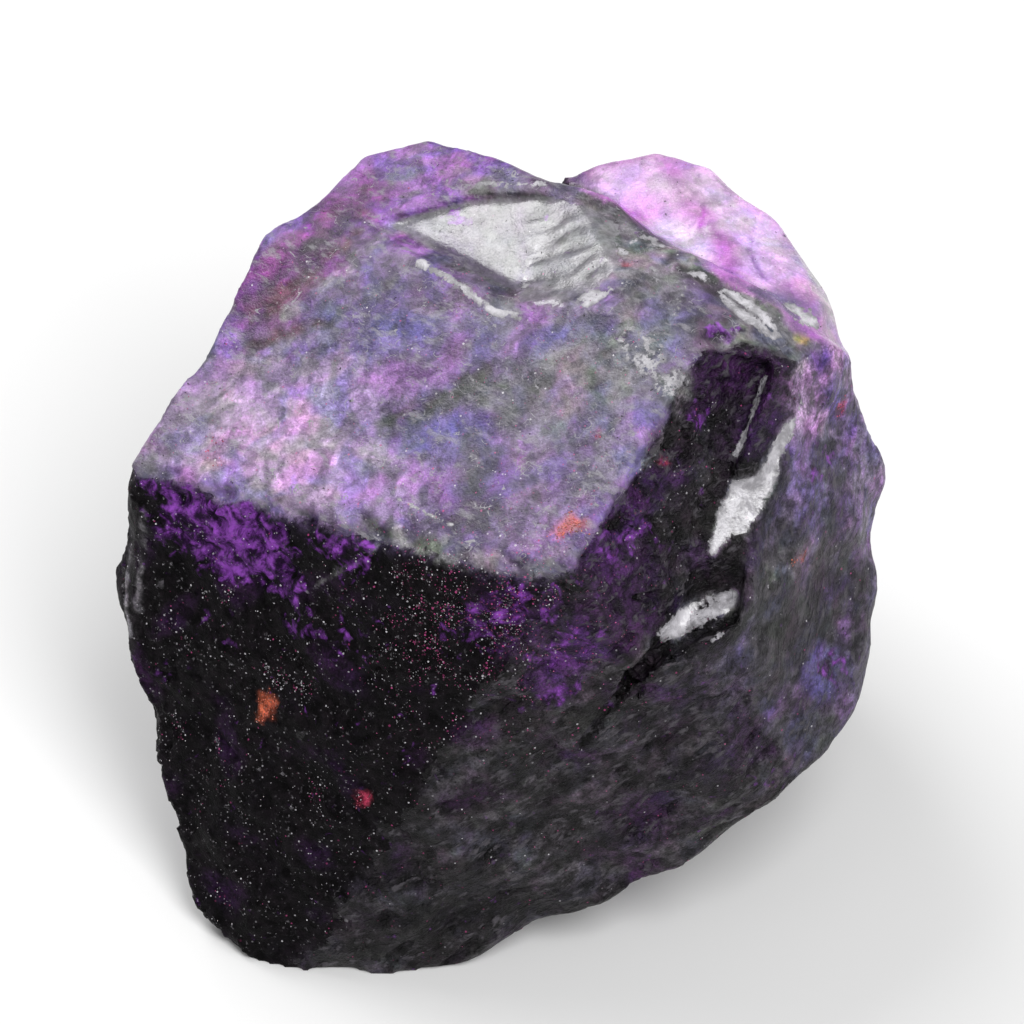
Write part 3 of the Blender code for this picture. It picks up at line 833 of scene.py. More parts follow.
def relief(places, share):
    """How far the skin stands out at each place, in millimetres."""
    keep = 1.0 - np.clip(share["notch"] + share["flake"] + share["fan"] + share["lobe"], 0.0, 1.0)
    rough = share["left_wall"] + share["rest"] + 0.7 * share["bruise"]
    smooth = share["top"] + share["shoulder"] + share["crest"] + share["corner_break"]
    chunks = 0.16 * ripple(places, 3.4, 11) + 0.15 * crystals(places, 1.9, 12)
    chunks += 0.10 * crystals(places, 1.0, 13)
    run = stretched(places, FRONT_RUN, 2.4)
    dimples = -0.42 * smoothstep(0.2, 0.8, ripple(run, 1.5, 14)) + 0.16 * ripple(run, 3.4, 15)
    dimples += 0.09 * crystals(run, 1.0, 16)
    flutes = 0.10 * ripple(stretched(places, FLANK_RUN, 3.0), 2.2, 26)
    flutes += 0.04 * crystals(places, 1.2, 27)
    fine = 0.08 * ripple(places, 2.6, 17) + 0.03 * ripple(places, 1.1, 18)
    fine += 0.025 * crystals(places, 0.9, 19)
    height = rough * chunks + share["front_wall"] * dimples
    height = keep * (height + share["flank"] * flutes + smooth * fine)
    pits = smoothstep(0.5, 0.8, ripple(places, 0.9, 20))
    height -= 0.10 * (share["tread"] + 0.5 * share["flake"]) * pits
    height += 0.07 * share["fan"] * fan_wave(places)
    dull = share["notch"] * (1.0 - share["tread"])
    height += dull * (0.08 * ripple(places, 2.6, 23) + 0.09 * crystals(places, 1.5, 32))
    height += share["lobe"] * 0.10 * ripple(stretched(places, LOBE_FLUTES, 3.0), 2.4, 25)
    pocket = cloud_cover(FLUSHES["pocket"], wandering(places, 1.6, 0.5, 51), share)
    height -= 0.5 * smoothstep(0.35, 0.6, pocket) * smoothstep(-0.3, 0.4, ripple(places, 1.7, 29))
    across = height_over(FACES["top"], places) - height_over(FACES["left_wall"], places)
    brink = 1.0 - smoothstep(0.3, 1.8, np.abs(across))
    brink = brink * (share["top"] + share["left_wall"])
    height -= 0.8 * brink * smoothstep(0.1, 0.7, ripple(places, 2.4, 30))
    step = within(NOTCH_RIM, places, 1.3) * (share["top"] + share["riser"])
    step = step * smoothstep(4.0, 7.0, places[:, 2])
    height -= 0.3 * step * (0.5 + crystals(places, 1.6, 33))
    noise = line_noise(places)
    for stroke in STROKES.values():
        if stroke.lift:
            height += stroke.lift * share["stone"] * stroke_cover(stroke, places, noise)
    return height


def apply_modifiers(thing):
    """Turns what the modifiers make into the object's own mesh."""
    bpy.context.view_layer.update()
    shaped = thing.evaluated_get(bpy.context.evaluated_depsgraph_get())
    mesh = bpy.data.meshes.new_from_object(shaped)
    thing.modifiers.clear()
    thing.data = mesh


def vertex_places(mesh):
    flat = np.empty(len(mesh.vertices) * 3)
    mesh.vertices.foreach_get("co", flat)
    return flat.reshape(-1, 3)


def vertex_normals(mesh):
    flat = np.empty(len(mesh.vertices) * 3)
    mesh.vertex_normals.foreach_get("vector", flat)
    return flat.reshape(-1, 3)


def face_means(mesh, values):
    """The mean over each face's corners of a value at each vertex."""
    corners = np.empty(len(mesh.loops), dtype=np.int32)
    mesh.loops.foreach_get("vertex_index", corners)
    starts = np.empty(len(mesh.polygons), dtype=np.int32)
    mesh.polygons.foreach_get("loop_start", starts)
    counts = np.empty(len(mesh.polygons), dtype=np.int32)
    mesh.polygons.foreach_get("loop_total", counts)
    return np.add.reduceat(values[corners], starts) / counts


def new_object(name, mesh):
    thing = bpy.data.objects.new(name, mesh)
    bpy.context.scene.collection.objects.link(thing)
    return thing


def merged_copy(node):
    """A copy of a solid's mesh whose loose triangles are joined."""
    bm = bmesh.new()
    bm.from_mesh(node.data)
    bmesh.ops.remove_doubles(bm, verts=bm.verts, dist=1e-6)
    mesh = bpy.data.meshes.new("fine_stone")
    bm.to_mesh(mesh)
    bm.free()
    return mesh


def wrap_stone(voxel):
    """The stone's solid, wrapped in a skin of small even faces."""
    stone = new_object("fine_stone", merged_copy(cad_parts[NODE]))
    skin = stone.modifiers.new("skin", "REMESH")
    skin.mode = "VOXEL"
    skin.voxel_size = voxel
    soften = stone.modifiers.new("soften", "SMOOTH")
    soften.factor = 0.5
    soften.iterations = 2
    apply_modifiers(stone)
    return stone


def roughen(stone):
    """Moves the skin in and out by its relief, within the solid's box, and leaves the base flat."""
    places = vertex_places(stone.data)
    drawing = drawn(places)
    lift = relief(drawing, parts_of_stone(drawing)) * smoothstep(0.05 * MM, 0.8 * MM, places[:, 2])
    places = places + vertex_normals(stone.data) * lift[:, None] * MM
    low, high = CAD_BOX
    places = np.clip(places, np.array(low), np.array(high))
    stone.data.vertices.foreach_set("co", places.ravel())
    stone.data.update()


def thin_out(stone):
    thinning = stone.modifiers.new("thinning", "DECIMATE")
    thinning.ratio = min(1.0, TRIANGLE_LIMIT / (2.0 * len(stone.data.polygons)))
    apply_modifiers(stone)
    stone.data.shade_smooth()


def set_attribute(mesh, name, values):
    layer = mesh.attributes.new(name, "FLOAT", "POINT")
    layer.data.foreach_set("value", values.astype(np.float32))


def patch_cover(patch, ragged):
    """How much of a patch of grains each place takes, in places moved about by noise."""
    distance = np.linalg.norm(ragged - np.array(patch.middle), axis=1)
    return patch.cover * (1.0 - smoothstep(0.5 * patch.radius, 1.2 * patch.radius, distance))


def room_for_grains(places):
    """Where a grain stays inside the solid's box, from 0 to 1."""
    (left, front, base), (right, back, top) = CAD_BOX
    x, y, z = places.T
    inside = np.min([x - left, right - x, y - front, back - y, z - base - 0.6 * MM, top - z], axis=0)
    return smoothstep(0.2 * MM, 0.4 * MM, inside)


def grain_fields(places, drawing, share, fresh, ragged):
    """How thickly each kind of grain lies at each place."""
    room = room_for_grains(places)
    grainy = np.clip(share["left_wall"] + share["rest"] + share["bruise"], 0.0, 1.0) * (1.0 - fresh)
    swarm = smoothstep(0.0, 0.8, ripple(drawing, 5.0, 61))
    swarm = swarm * smoothstep(0.0, 0.8, ripple(drawing, 1.6, 62))
    corner = np.sum((drawing[:, :2] - CROWD_MIDDLE) ** 2, axis=1)
    corner = np.exp(-corner / CROWD_SPREAD ** 2)
    clumps = smoothstep(-0.6, 0.5, ripple(drawing, 2.2, 64))
    corner *= clumps * smoothstep(-0.8, 0.4, ripple(drawing, 0.8, 65))
    white = grainy * (swarm + 0.1) + 2.0 * corner + 0.25 * share["edge"] * share["top"]
    white = white + 0.06 * share["top"]
    rose = 0.5 * grainy * swarm + 3.0 * corner + 0.12 * share["top"] + 0.05 * share["front_wall"]
    closed = 1.0 - np.clip(share["tread"] + share["flake"] + share["fan"] + share["lobe"], 0.0, 1.0)
    fields = {
        "white": np.clip(white, 0.0, 1.0) * closed * room,
        "rose": np.clip(rose, 0.0, 1.0) * closed * room,
    }
    for kind in ("orange", "red"):
        covers = [patch_cover(patch, ragged) for patch in PATCHES.values() if patch.kind == kind]
        fields[kind] = np.clip(np.sum(covers, axis=0), 0.0, 1.0) * room
    return fields


def finish_fields(drawing, share, fresh):
    """How much each place takes of each finish, in the finishes' order."""
    step = share["notch"] * (1.0 - share["tread"])
    front = share["front_wall"] + share["rest"] + step
    black = share["left_wall"] + share["bruise"]
    both = np.clip(front + black, 0.0, 1.0)
    speckle = 0.5 * ripple(drawing, 1.6, 63)
    black = both * np.clip(share["front_side"] + speckle, 0.0, 1.0) * (1.0 - step)
    flank = share["flank"] * (1.0 - share["rest"])
    return 1.0 - both - flank, black, both - black, flank, 2.0 * fresh, 3.0 * share["lobe"]


def paint_stone(stone, palette):
    """Stores the colours, the grains and the finishes of the skin on its vertices and faces."""
    places = vertex_places(stone.data)
    drawing = drawn(places)
    share = parts_of_stone(drawing)
    noise = line_noise(drawing)
    ragged = drawing + 2.5 * noise[0]
    colour = stone_colour(drawing, share, palette)
    for patch in PATCHES.values():
        colour = painted(colour, patch_cover(patch, ragged), palette[patch.kind])
    colour = np.concatenate([np.clip(colour, 0.0, 1.0), np.ones((len(drawing), 1))], axis=1)
    tint = stone.data.attributes.new("tint", "FLOAT_COLOR", "POINT")
    tint.data.foreach_set("color", colour.astype(np.float32).ravel())
    chalk, violet = crisp_fields(drawing, share, noise)
    set_attribute(stone.data, "chalk", chalk)
    set_attribute(stone.data, "violet", violet)
    fresh = np.clip(share["tread"] + share["flake"] + share["fan"] + share["ledge"], 0.0, 1.0)
    for name, field in grain_fields(places, drawing, share, fresh, ragged).items():
        set_attribute(stone.data, name, field)
    means = [face_means(stone.data, field) for field in finish_fields(drawing, share, fresh)]
    stone.data.polygons.foreach_set("material_index", np.argmax(means, axis=0).astype(np.int32))


class NodeDesk:
    """Adds and links the nodes of one tree."""

    def __init__(self, tree):
        self.tree = tree

    def add(self, kind, **values):
        node = self.tree.nodes.new(kind)
        for name, value in values.items():
            setattr(node, name, value)
        return node

    def feed(self, node, socket, value):
        """Links a socket to another, or sets it to a plain value."""
        if isinstance(value, bpy.types.NodeSocket):
            self.tree.links.new(value, node.inputs[socket])
        else:
            node.inputs[socket].default_value = value

    def attribute(self, name):
        return self.add("ShaderNodeAttribute", attribute_name=name)

    def millimetres(self):
        """The place on the object, in millimetres."""
        turned = self.add("ShaderNodeMapping")
        self.feed(turned, "Vector", self.add("ShaderNodeTexCoord").outputs["Object"])
        self.feed(turned, "Scale", (1.0 / MM, 1.0 / MM, 1.0 / MM))
        return turned.outputs["Vector"]

    def along(self, way, stretch):
        """The place on the object in millimetres, squeezed along a drawn direction."""
        squeezed = self.add("ShaderNodeMapping", vector_type="TEXTURE")
        self.feed(squeezed, "Vector", self.add("ShaderNodeTexCoord").outputs["Object"])
        turn = (standing_turn() @ Vector(way)).to_track_quat("X", "Z").to_euler()
        self.feed(squeezed, "Rotation", tuple(turn))
        self.feed(squeezed, "Scale", (stretch * MM, MM, MM))
        return squeezed.outputs["Vector"]

    def noise(self, places, scale, detail=4.0, roughness=0.55, seed=0.0, distortion=0.0):
        node = self.add("ShaderNodeTexNoise", noise_dimensions="4D")
        self.feed(node, "Vector", places)
        self.feed(node, "W", 7.3 * seed)
        self.feed(node, "Scale", scale)
        self.feed(node, "Detail", detail)
        self.feed(node, "Roughness", roughness)
        self.feed(node, "Distortion", distortion)
        return node.outputs["Fac"]

    def band(self, value, low, high):
        """Maps a value from between two limits to 0 and 1."""
        node = self.add("ShaderNodeMapRange", interpolation_type="SMOOTHSTEP")
        self.feed(node, "Value", value)
        self.feed(node, "From Min", low)
        self.feed(node, "From Max", high)
        return node.outputs["Result"]

    def mix(self, factor, first, second):
        node = self.add("ShaderNodeMix", data_type="RGBA")
        self.feed(node, "Factor", factor)
        self.feed(node, 6, first)
        self.feed(node, 7, second)
        return node.outputs[2]

    def dyed(self, colour, dye, share):
        """A colour, a share of which is multiplied by a dye."""
        node = self.add("ShaderNodeVectorMath", operation="MULTIPLY")
        self.feed(node, 0, colour)
        self.feed(node, 1, dye)
        return self.mix(share, colour, node.outputs[0])

    def scaled(self, colour, factor):
        node = self.add("ShaderNodeVectorMath", operation="SCALE")
        self.feed(node, 0, colour)
        self.feed(node, "Scale", factor)
        return node.outputs[0]

    def maths(self, operation, first, second=0.0):
        node = self.add("ShaderNodeMath", operation=operation)
        self.feed(node, 0, first)
        self.feed(node, 1, second)
        return node.outputs[0]

    def ramp(self, value, slope, start):
        """A value times a slope, plus a start."""
        node = self.add("ShaderNodeMath", operation="MULTIPLY_ADD")
        self.feed(node, 0, value)
        self.feed(node, 1, slope)
        self.feed(node, 2, start)
        return node.outputs[0]

    def specks(self, places, scale, radius, share):
        """Dots of many sizes strewn in cells, of which only a share is kept, from 0 to 1."""
        cells = self.add("ShaderNodeTexVoronoi")
        self.feed(cells, "Vector", places)
        self.feed(cells, "Scale", scale)
        chance = self.add("ShaderNodeSeparateColor")
        self.feed(chance, 0, cells.outputs["Color"])
        kept = self.maths("GREATER_THAN", self.maths("ADD", chance.outputs[0], share), 1.0)
        reach = self.ramp(chance.outputs[1], 0.9 * radius, 0.3 * radius)
        near_middle = self.maths("LESS_THAN", cells.outputs["Distance"], reach)
        strength = self.ramp(self.maths("POWER", chance.outputs[2], 3.0), 0.9, 0.1)
        return self.maths("MULTIPLY", self.maths("MULTIPLY", kept, near_middle), strength)

    def ragged(self, field, noise, reach, low=0.40, high=0.58):
        """A soft field made crisp, with a border that a noise breaks up."""
        return self.band(self.ramp(noise, reach, self.maths("SUBTRACT", field, 0.5 * reach)), low, high)


# How a finish looks: its optics, how much its grain varies in shade, its bump, how many painted grey
# glints, streaks (a painted grey sheen on a dull finish, and which way they run), hues, curling
# scratches, white specks of painted sparkle and pink specks it shows, and how much light it lets
# through.
Finish = namedtuple(
    "Finish", "ior specular roughness contrast bump glint streak way hue curls dust translucence"
)
FINISHES = {
    "sapphire_skin": Finish(
        1.55, 0.5, 0.34, 0.60, 0.8, 0.15, 0.60,
        TOP_RUN, 1.0, 1.0, 0.25, 0.0,
    ),
    "sapphire_grain": Finish(
        1.55, 0.05, 0.50, 1.4, 1.0, 1.00, 0.0,
        (1.0, 0.0, 0.0), 0.3, 0.0, 0.5, 0.0,
    ),
    "sapphire_front": Finish(
        1.55, 0.16, 0.36, 1.5, 1.3, 0.35, 1.0,
        FRONT_RUN, 0.6, 0.0, 0.12, 0.0,
    ),
    "sapphire_flank": Finish(
        1.55, 0.20, 0.36, 1.2, 1.0, 0.20, 0.8,
        FLANK_RUN, 0.9, 0.0, 0.10, 0.0,
    ),
    "sapphire_fresh": Finish(
        1.77, 0.5, 0.20, 0.50, 0.35, 0.0, 0.55,
        FRESH_RUN, 0.25, 0.0, 0.05, 0.0,
    ),
    "sapphire_lobe": Finish(
        1.60, 0.5, 0.26, 0.25, 0.3, 0.0, 0.3,
        LOBE_RUN, 0.5, 0.0, 0.0, 0.55,
    ),
}

# A finish with less shine than this is dull: its streaks are a painted grey sheen and stand out.
DULL_BELOW = 0.3

# The patches of other hues in a finish: the noise's seed and scale, where it starts and ends,
# the dye and how strong it is.
Hue = namedtuple("Hue", "seed scale low high dye strength")
HUES = (
    Hue(1, 0.24, 0.46, 0.64, (1.30, 0.82, 1.22), 0.8),
    Hue(2, 0.28, 0.46, 0.64, (0.68, 0.78, 1.14), 0.8),
    Hue(3, 0.34, 0.48, 0.62, (0.84, 1.10, 0.72), 0.8),
    Hue(4, 0.42, 0.50, 0.60, (0.45, 0.46, 0.47), 0.9),
    Hue(13, 0.36, 0.52, 0.62, (1.60, 1.60, 1.50), 0.7),
    Hue(14, 1.00, 0.57, 0.60, (0.55, 0.50, 0.58), 0.6),
    Hue(17, 1.30, 0.58, 0.62, (1.55, 1.50, 1.55), 0.5),
)


def add_hues(desk, places, colour, strength):
    """Dyes patches of a colour in other hues."""
    for hue in HUES:
        patch = desk.noise(places, hue.scale, 2.0, 0.5, hue.seed, 0.8)
        share = desk.maths("MULTIPLY", desk.band(patch, hue.low, hue.high), hue.strength * strength)
        colour = desk.dyed(colour, hue.dye, share)
    return colour


def add_streaks(desk, places, colour, height, finish, palette):
    """Runs streaks through a colour. On a dull finish they are a painted grey sheen, and stand out as
    well.
    """
    fibre = desk.noise(desk.along(finish.way, 2.4), 1.7, 3.0, 0.6, 5, 0.2)
    gate = desk.band(desk.noise(places, 0.45, 2.0, 0.5, 6), 0.40, 0.58)
    gate = desk.maths("MULTIPLY", gate, finish.streak)
    share = desk.maths("MULTIPLY", desk.band(fibre, 0.50, 0.66), gate)
    dull = finish.specular < DULL_BELOW
    colour = desk.mix(share, colour, (*palette["pewter" if dull else "ice"], 1.0))
    if dull:
        height = desk.maths("ADD", height, desk.band(fibre, 0.40, 0.66))
    return colour, height


def add_violet(desk, places, colour, depth, palette):
    """Lets clear violet show where the skin says so, in ragged patches."""
    blob = desk.noise(places, 0.9, 3.0, 0.55, 7, 0.6)
    flush = desk.ragged(desk.attribute("violet").outputs["Fac"], blob, 2.8, 0.35, 0.95)
    glow = desk.ramp(desk.band(depth, 0.40, 0.66), 2.3, 0.12)
    return desk.mix(flush, colour, desk.scaled(palette["bright_violet"], glow))


def add_glints(desk, places, colour, strength, palette):
    """Strews grey glints over a colour, in clusters."""
    fleck = desk.band(desk.noise(places, 2.6, 4.0, 0.7, 9, 0.4), 0.60, 0.66)
    cluster = desk.band(desk.noise(places, 0.55, 2.0, 0.5, 10), 0.50, 0.62)
    cluster = desk.ramp(cluster, 0.75 * strength, 0.25 * strength)
    return desk.mix(desk.maths("MULTIPLY", fleck, cluster), colour, (*palette["ash"], 1.0))


def add_curls(desk, places, colour, strength, palette):
    """Draws thin, curling scratches, a few here and there."""
    level = desk.noise(places, 0.75, 1.0, 0.5, 11, 1.2)
    line = desk.band(desk.maths("ABSOLUTE", desk.maths("SUBTRACT", level, 0.5)), 0.012, 0.004)
    gate = desk.band(desk.noise(places, 0.8, 2.0, 0.5, 12), 0.52, 0.60)
    curls = desk.maths("MULTIPLY", line, desk.maths("MULTIPLY", gate, strength))
    return desk.mix(curls, colour, (*palette["ice"], 1.0))


def add_chalk_and_highlight(desk, places, colour, depth, pits, palette):
    """Lays chalky white and the painted highlights of the treads and bright edges where the skin says
    so, with crumbling borders and open pits.
    """
    crumbs = desk.noise(places, 2.2, 3.0, 0.6, 16)
    chalk = desk.ragged(desk.attribute("chalk").outputs["Fac"], crumbs, 1.8, 0.38, 0.62)
    bright = desk.ramp(desk.attribute("chalk").outputs["Fac"], 0.9, 0.25)
    shade = desk.maths("MULTIPLY", bright, desk.ramp(desk.band(depth, 0.38, 0.62), 0.6, 0.55))
    white_and_highlight = desk.scaled(palette["chalk"], shade)
    return desk.mix(desk.maths("MULTIPLY", chalk, desk.maths("SUBTRACT", 1.0, pits)), colour, white_and_highlight)


def add_sparkle_and_specks(desk, places, colour, strength, palette):
    """Dots a colour with fine white specks of painted sparkle, standing in for glints, and with fine
    pink specks, most where the grains lie.
    """
    share = desk.ramp(desk.attribute("white").outputs["Fac"], strength, 0.012)
    # Painted sparkle: white specks stand in for glints.
    sparks = desk.specks(places, 5.4, 0.42, share)
    colour = desk.mix(sparks, colour, (*palette["frost"], 1.0))
    share = desk.ramp(desk.attribute("rose").outputs["Fac"], strength, 0.008)
    blush = desk.specks(places, 5.0, 0.42, share)
    return desk.mix(blush, colour, (*palette["pink"], 1.0))


def stone_material(name, finish, palette):
    """One finish of the stone: its painted colour, broken up into hues, streaks and grains."""
    material = bpy.data.materials.new(name)
    material.use_nodes = True
    desk = NodeDesk(material.node_tree)
    shader = material.node_tree.nodes["Principled BSDF"]
    places = desk.millimetres()
    mottle = desk.noise(places, 1.1, 5.0, 0.55)
    grit = desk.noise(places, 5.0, 3.0, 0.65)
    depth = desk.noise(places, 0.8, 5.0, 0.65, 15, 0.5)
    pits = desk.band(desk.noise(places, 3.2, 2.0, 0.5, 8), 0.70, 0.74)
    height = desk.maths("ADD", mottle, grit)
    contrast = finish.contrast
    broad = desk.ramp(desk.band(mottle, 0.36, 0.64), 1.0 * contrast, 1.0 - 0.5 * contrast)
    close = desk.ramp(desk.band(grit, 0.30, 0.70), 0.7 * contrast, 1.0 - 0.35 * contrast)
    colour = desk.scaled(desk.attribute("tint").outputs["Color"], desk.maths("MULTIPLY", broad, close))
    colour = add_hues(desk, places, colour, finish.hue)
    if finish.streak:
        colour, height = add_streaks(desk, places, colour, height, finish, palette)
    colour = add_violet(desk, places, colour, depth, palette)
    # Painted shade: the small pits that the bump sinks are laid in black.
    colour = desk.mix(pits, colour, (*palette["black"], 1.0))
    if finish.glint:
        colour = add_glints(desk, places, colour, finish.glint, palette)
    if finish.curls:
        colour = add_curls(desk, places, colour, finish.curls, palette)
    colour = add_chalk_and_highlight(desk, places, colour, depth, pits, palette)
    colour = add_sparkle_and_specks(desk, places, colour, finish.dust, palette)
    desk.feed(shader, "Base Color", colour)
    rough = desk.maths("ADD", desk.maths("MULTIPLY", grit, 0.16), finish.roughness - 0.08)
    desk.feed(shader, "Roughness", rough)
    desk.feed(shader, "IOR", finish.ior)
    desk.feed(shader, "Specular IOR Level", finish.specular)
    desk.feed(shader, "Subsurface Weight", finish.translucence)
    desk.feed(shader, "Subsurface Radius", (1.0, 0.5, 1.0))
    desk.feed(shader, "Subsurface Scale", 2.5 * MM)
    bump = desk.add("ShaderNodeBump")
    desk.feed(bump, "Distance", 0.12 * MM)
    desk.feed(bump, "Strength", finish.bump)
    desk.feed(bump, "Height", desk.maths("SUBTRACT", height, pits))
    desk.feed(shader, "Normal", bump.outputs["Normal"])
    return material


# The name of the input that says how thickly the grains lie.
GRAIN_COVER = "Grains in a square millimetre"

# The grains strewn over the skin: the attribute that says where they lie, their material and
# its colour and roughness, and how thick and how large they are against the settings.
Grain = namedtuple("Grain", "field material colour roughness cover size")
GRAINS = {
    "white_grains": Grain("white", "clear_grain", "frost", 0.2, 1.0, 0.8),
    "pink_grains": Grain("rose", "pink_grain", "pink", 0.3, 0.6, 0.9),
    "orange_flecks": Grain("orange", "orange_grain", "orange", 0.35, 8.0, 1.2),
    "red_flecks": Grain("red", "red_grain", "red", 0.3, 6.0, 1.2),
}


def grain_material(name, colour, roughness):
    """A clear, faceted grain whose shade differs from place to place."""
    material = bpy.data.materials.new(name)
    material.use_nodes = True
    desk = NodeDesk(material.node_tree)
    shader = material.node_tree.nodes["Principled BSDF"]
    shade = desk.ramp(desk.band(desk.noise(desk.millimetres(), 2.3, 2.0, 0.6), 0.36, 0.62), 1.3, 0.08)
    desk.feed(shader, "Base Color", desk.scaled(colour, shade))
    desk.feed(shader, "Roughness", roughness)
    desk.feed(shader, "IOR", 1.77)
    return material


def grain_tree(name, field, material):
    """Strews small stones over a skin, as thickly as one of its attributes says."""
    tree = bpy.data.node_groups.new(name, "GeometryNodeTree")
    sockets = tree.interface
    sockets.new_socket("Skin", in_out="INPUT", socket_type="NodeSocketGeometry")
    number = "NodeSocketFloat"
    cover = sockets.new_socket(GRAIN_COVER, in_out="INPUT", socket_type=number)
    size = sockets.new_socket("Grain size", in_out="INPUT", socket_type=number)
    sockets.new_socket("Grains", in_out="OUTPUT", socket_type="NodeSocketGeometry")
    desk = NodeDesk(tree)
    given = desk.add("NodeGroupInput").outputs
    share = desk.add("GeometryNodeInputNamedAttribute", data_type="FLOAT")
    desk.feed(share, "Name", field)
    in_metres = desk.maths("MULTIPLY", given[GRAIN_COVER], 1.0 / (MM * MM))
    strewn = desk.add("GeometryNodeDistributePointsOnFaces", distribute_method="RANDOM")
    desk.feed(strewn, "Mesh", given["Skin"])
    desk.feed(strewn, "Density", desk.maths("MULTIPLY", in_metres, share.outputs["Attribute"]))
    desk.feed(strewn, "Seed", 7)
    pebble = desk.add("GeometryNodeMeshIcoSphere")
    desk.feed(pebble, "Radius", given["Grain size"])
    desk.feed(pebble, "Subdivisions", 1)
    turn = desk.add("FunctionNodeRandomValue", data_type="FLOAT_VECTOR")
    desk.feed(turn, 1, (math.tau, math.tau, math.tau))
    desk.feed(turn, "Seed", 11)
    stretch = desk.add("FunctionNodeRandomValue", data_type="FLOAT_VECTOR")
    desk.feed(stretch, 0, (0.4, 0.4, 0.3))
    desk.feed(stretch, 1, (1.5, 1.1, 0.9))
    desk.feed(stretch, "Seed", 13)
    placed = desk.add("GeometryNodeInstanceOnPoints")
    desk.feed(placed, "Points", strewn.outputs["Points"])
    desk.feed(placed, "Instance", pebble.outputs["Mesh"])
    desk.feed(placed, "Rotation", turn.outputs[0])
    desk.feed(placed, "Scale", stretch.outputs[0])
    real = desk.add("GeometryNodeRealizeInstances")
    desk.feed(real, "Geometry", placed.outputs["Instances"])
    dressed = desk.add("GeometryNodeSetMaterial")
    desk.feed(dressed, "Geometry", real.outputs["Geometry"])
    desk.feed(dressed, "Material", material)
    desk.feed(desk.add("NodeGroupOutput"), "Grains", dressed.outputs["Geometry"])
    return tree, cover.identifier, size.identifier


def strew(name, field, cover, size, material):
    """Grains strewn over the fine stone, as one plain mesh."""
    tree, cover_key, size_key = grain_tree(name, field, material)
    grains = new_object(name, bpy.data.objects["fine_stone"].data.copy())
    strewing = grains.modifiers.new("strewing", "NODES")
    strewing.node_group = tree
    strewing[cover_key] = cover
    strewing[size_key] = size
    apply_modifiers(grains)
    if not grains.data.polygons:
        raise RuntimeError("No grain of %s was strewn" % name)
    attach(grains, BODY)


def colour_setting(name, description, colour):
    return bpy.props.FloatVectorProperty(
        name=name, description=description, default=colour, size=3, subtype="COLOR", min=0.0, max=1.0
    )


class CrystalSizes(bpy.types.PropertyGroup):
    """The sizes of the stone's skin and grains."""

    skin_voxel: bpy.props.FloatProperty(
        name="Skin mesh", description="Size of the cells that the skin is wrapped in",
        default=0.30 * MM, min=0.1 * MM, unit="LENGTH", subtype="DISTANCE",
    )
    grain_size: bpy.props.FloatProperty(
        name="Grain size", description="Radius of a middling grain on the skin",
        default=0.062 * MM, min=0.01 * MM, unit="LENGTH", subtype="DISTANCE",
    )
    grain_cover: bpy.props.FloatProperty(
        name="Grain cover", description="Grains in a square millimetre where they lie thickest",
        default=4.0, min=0.0,
    )


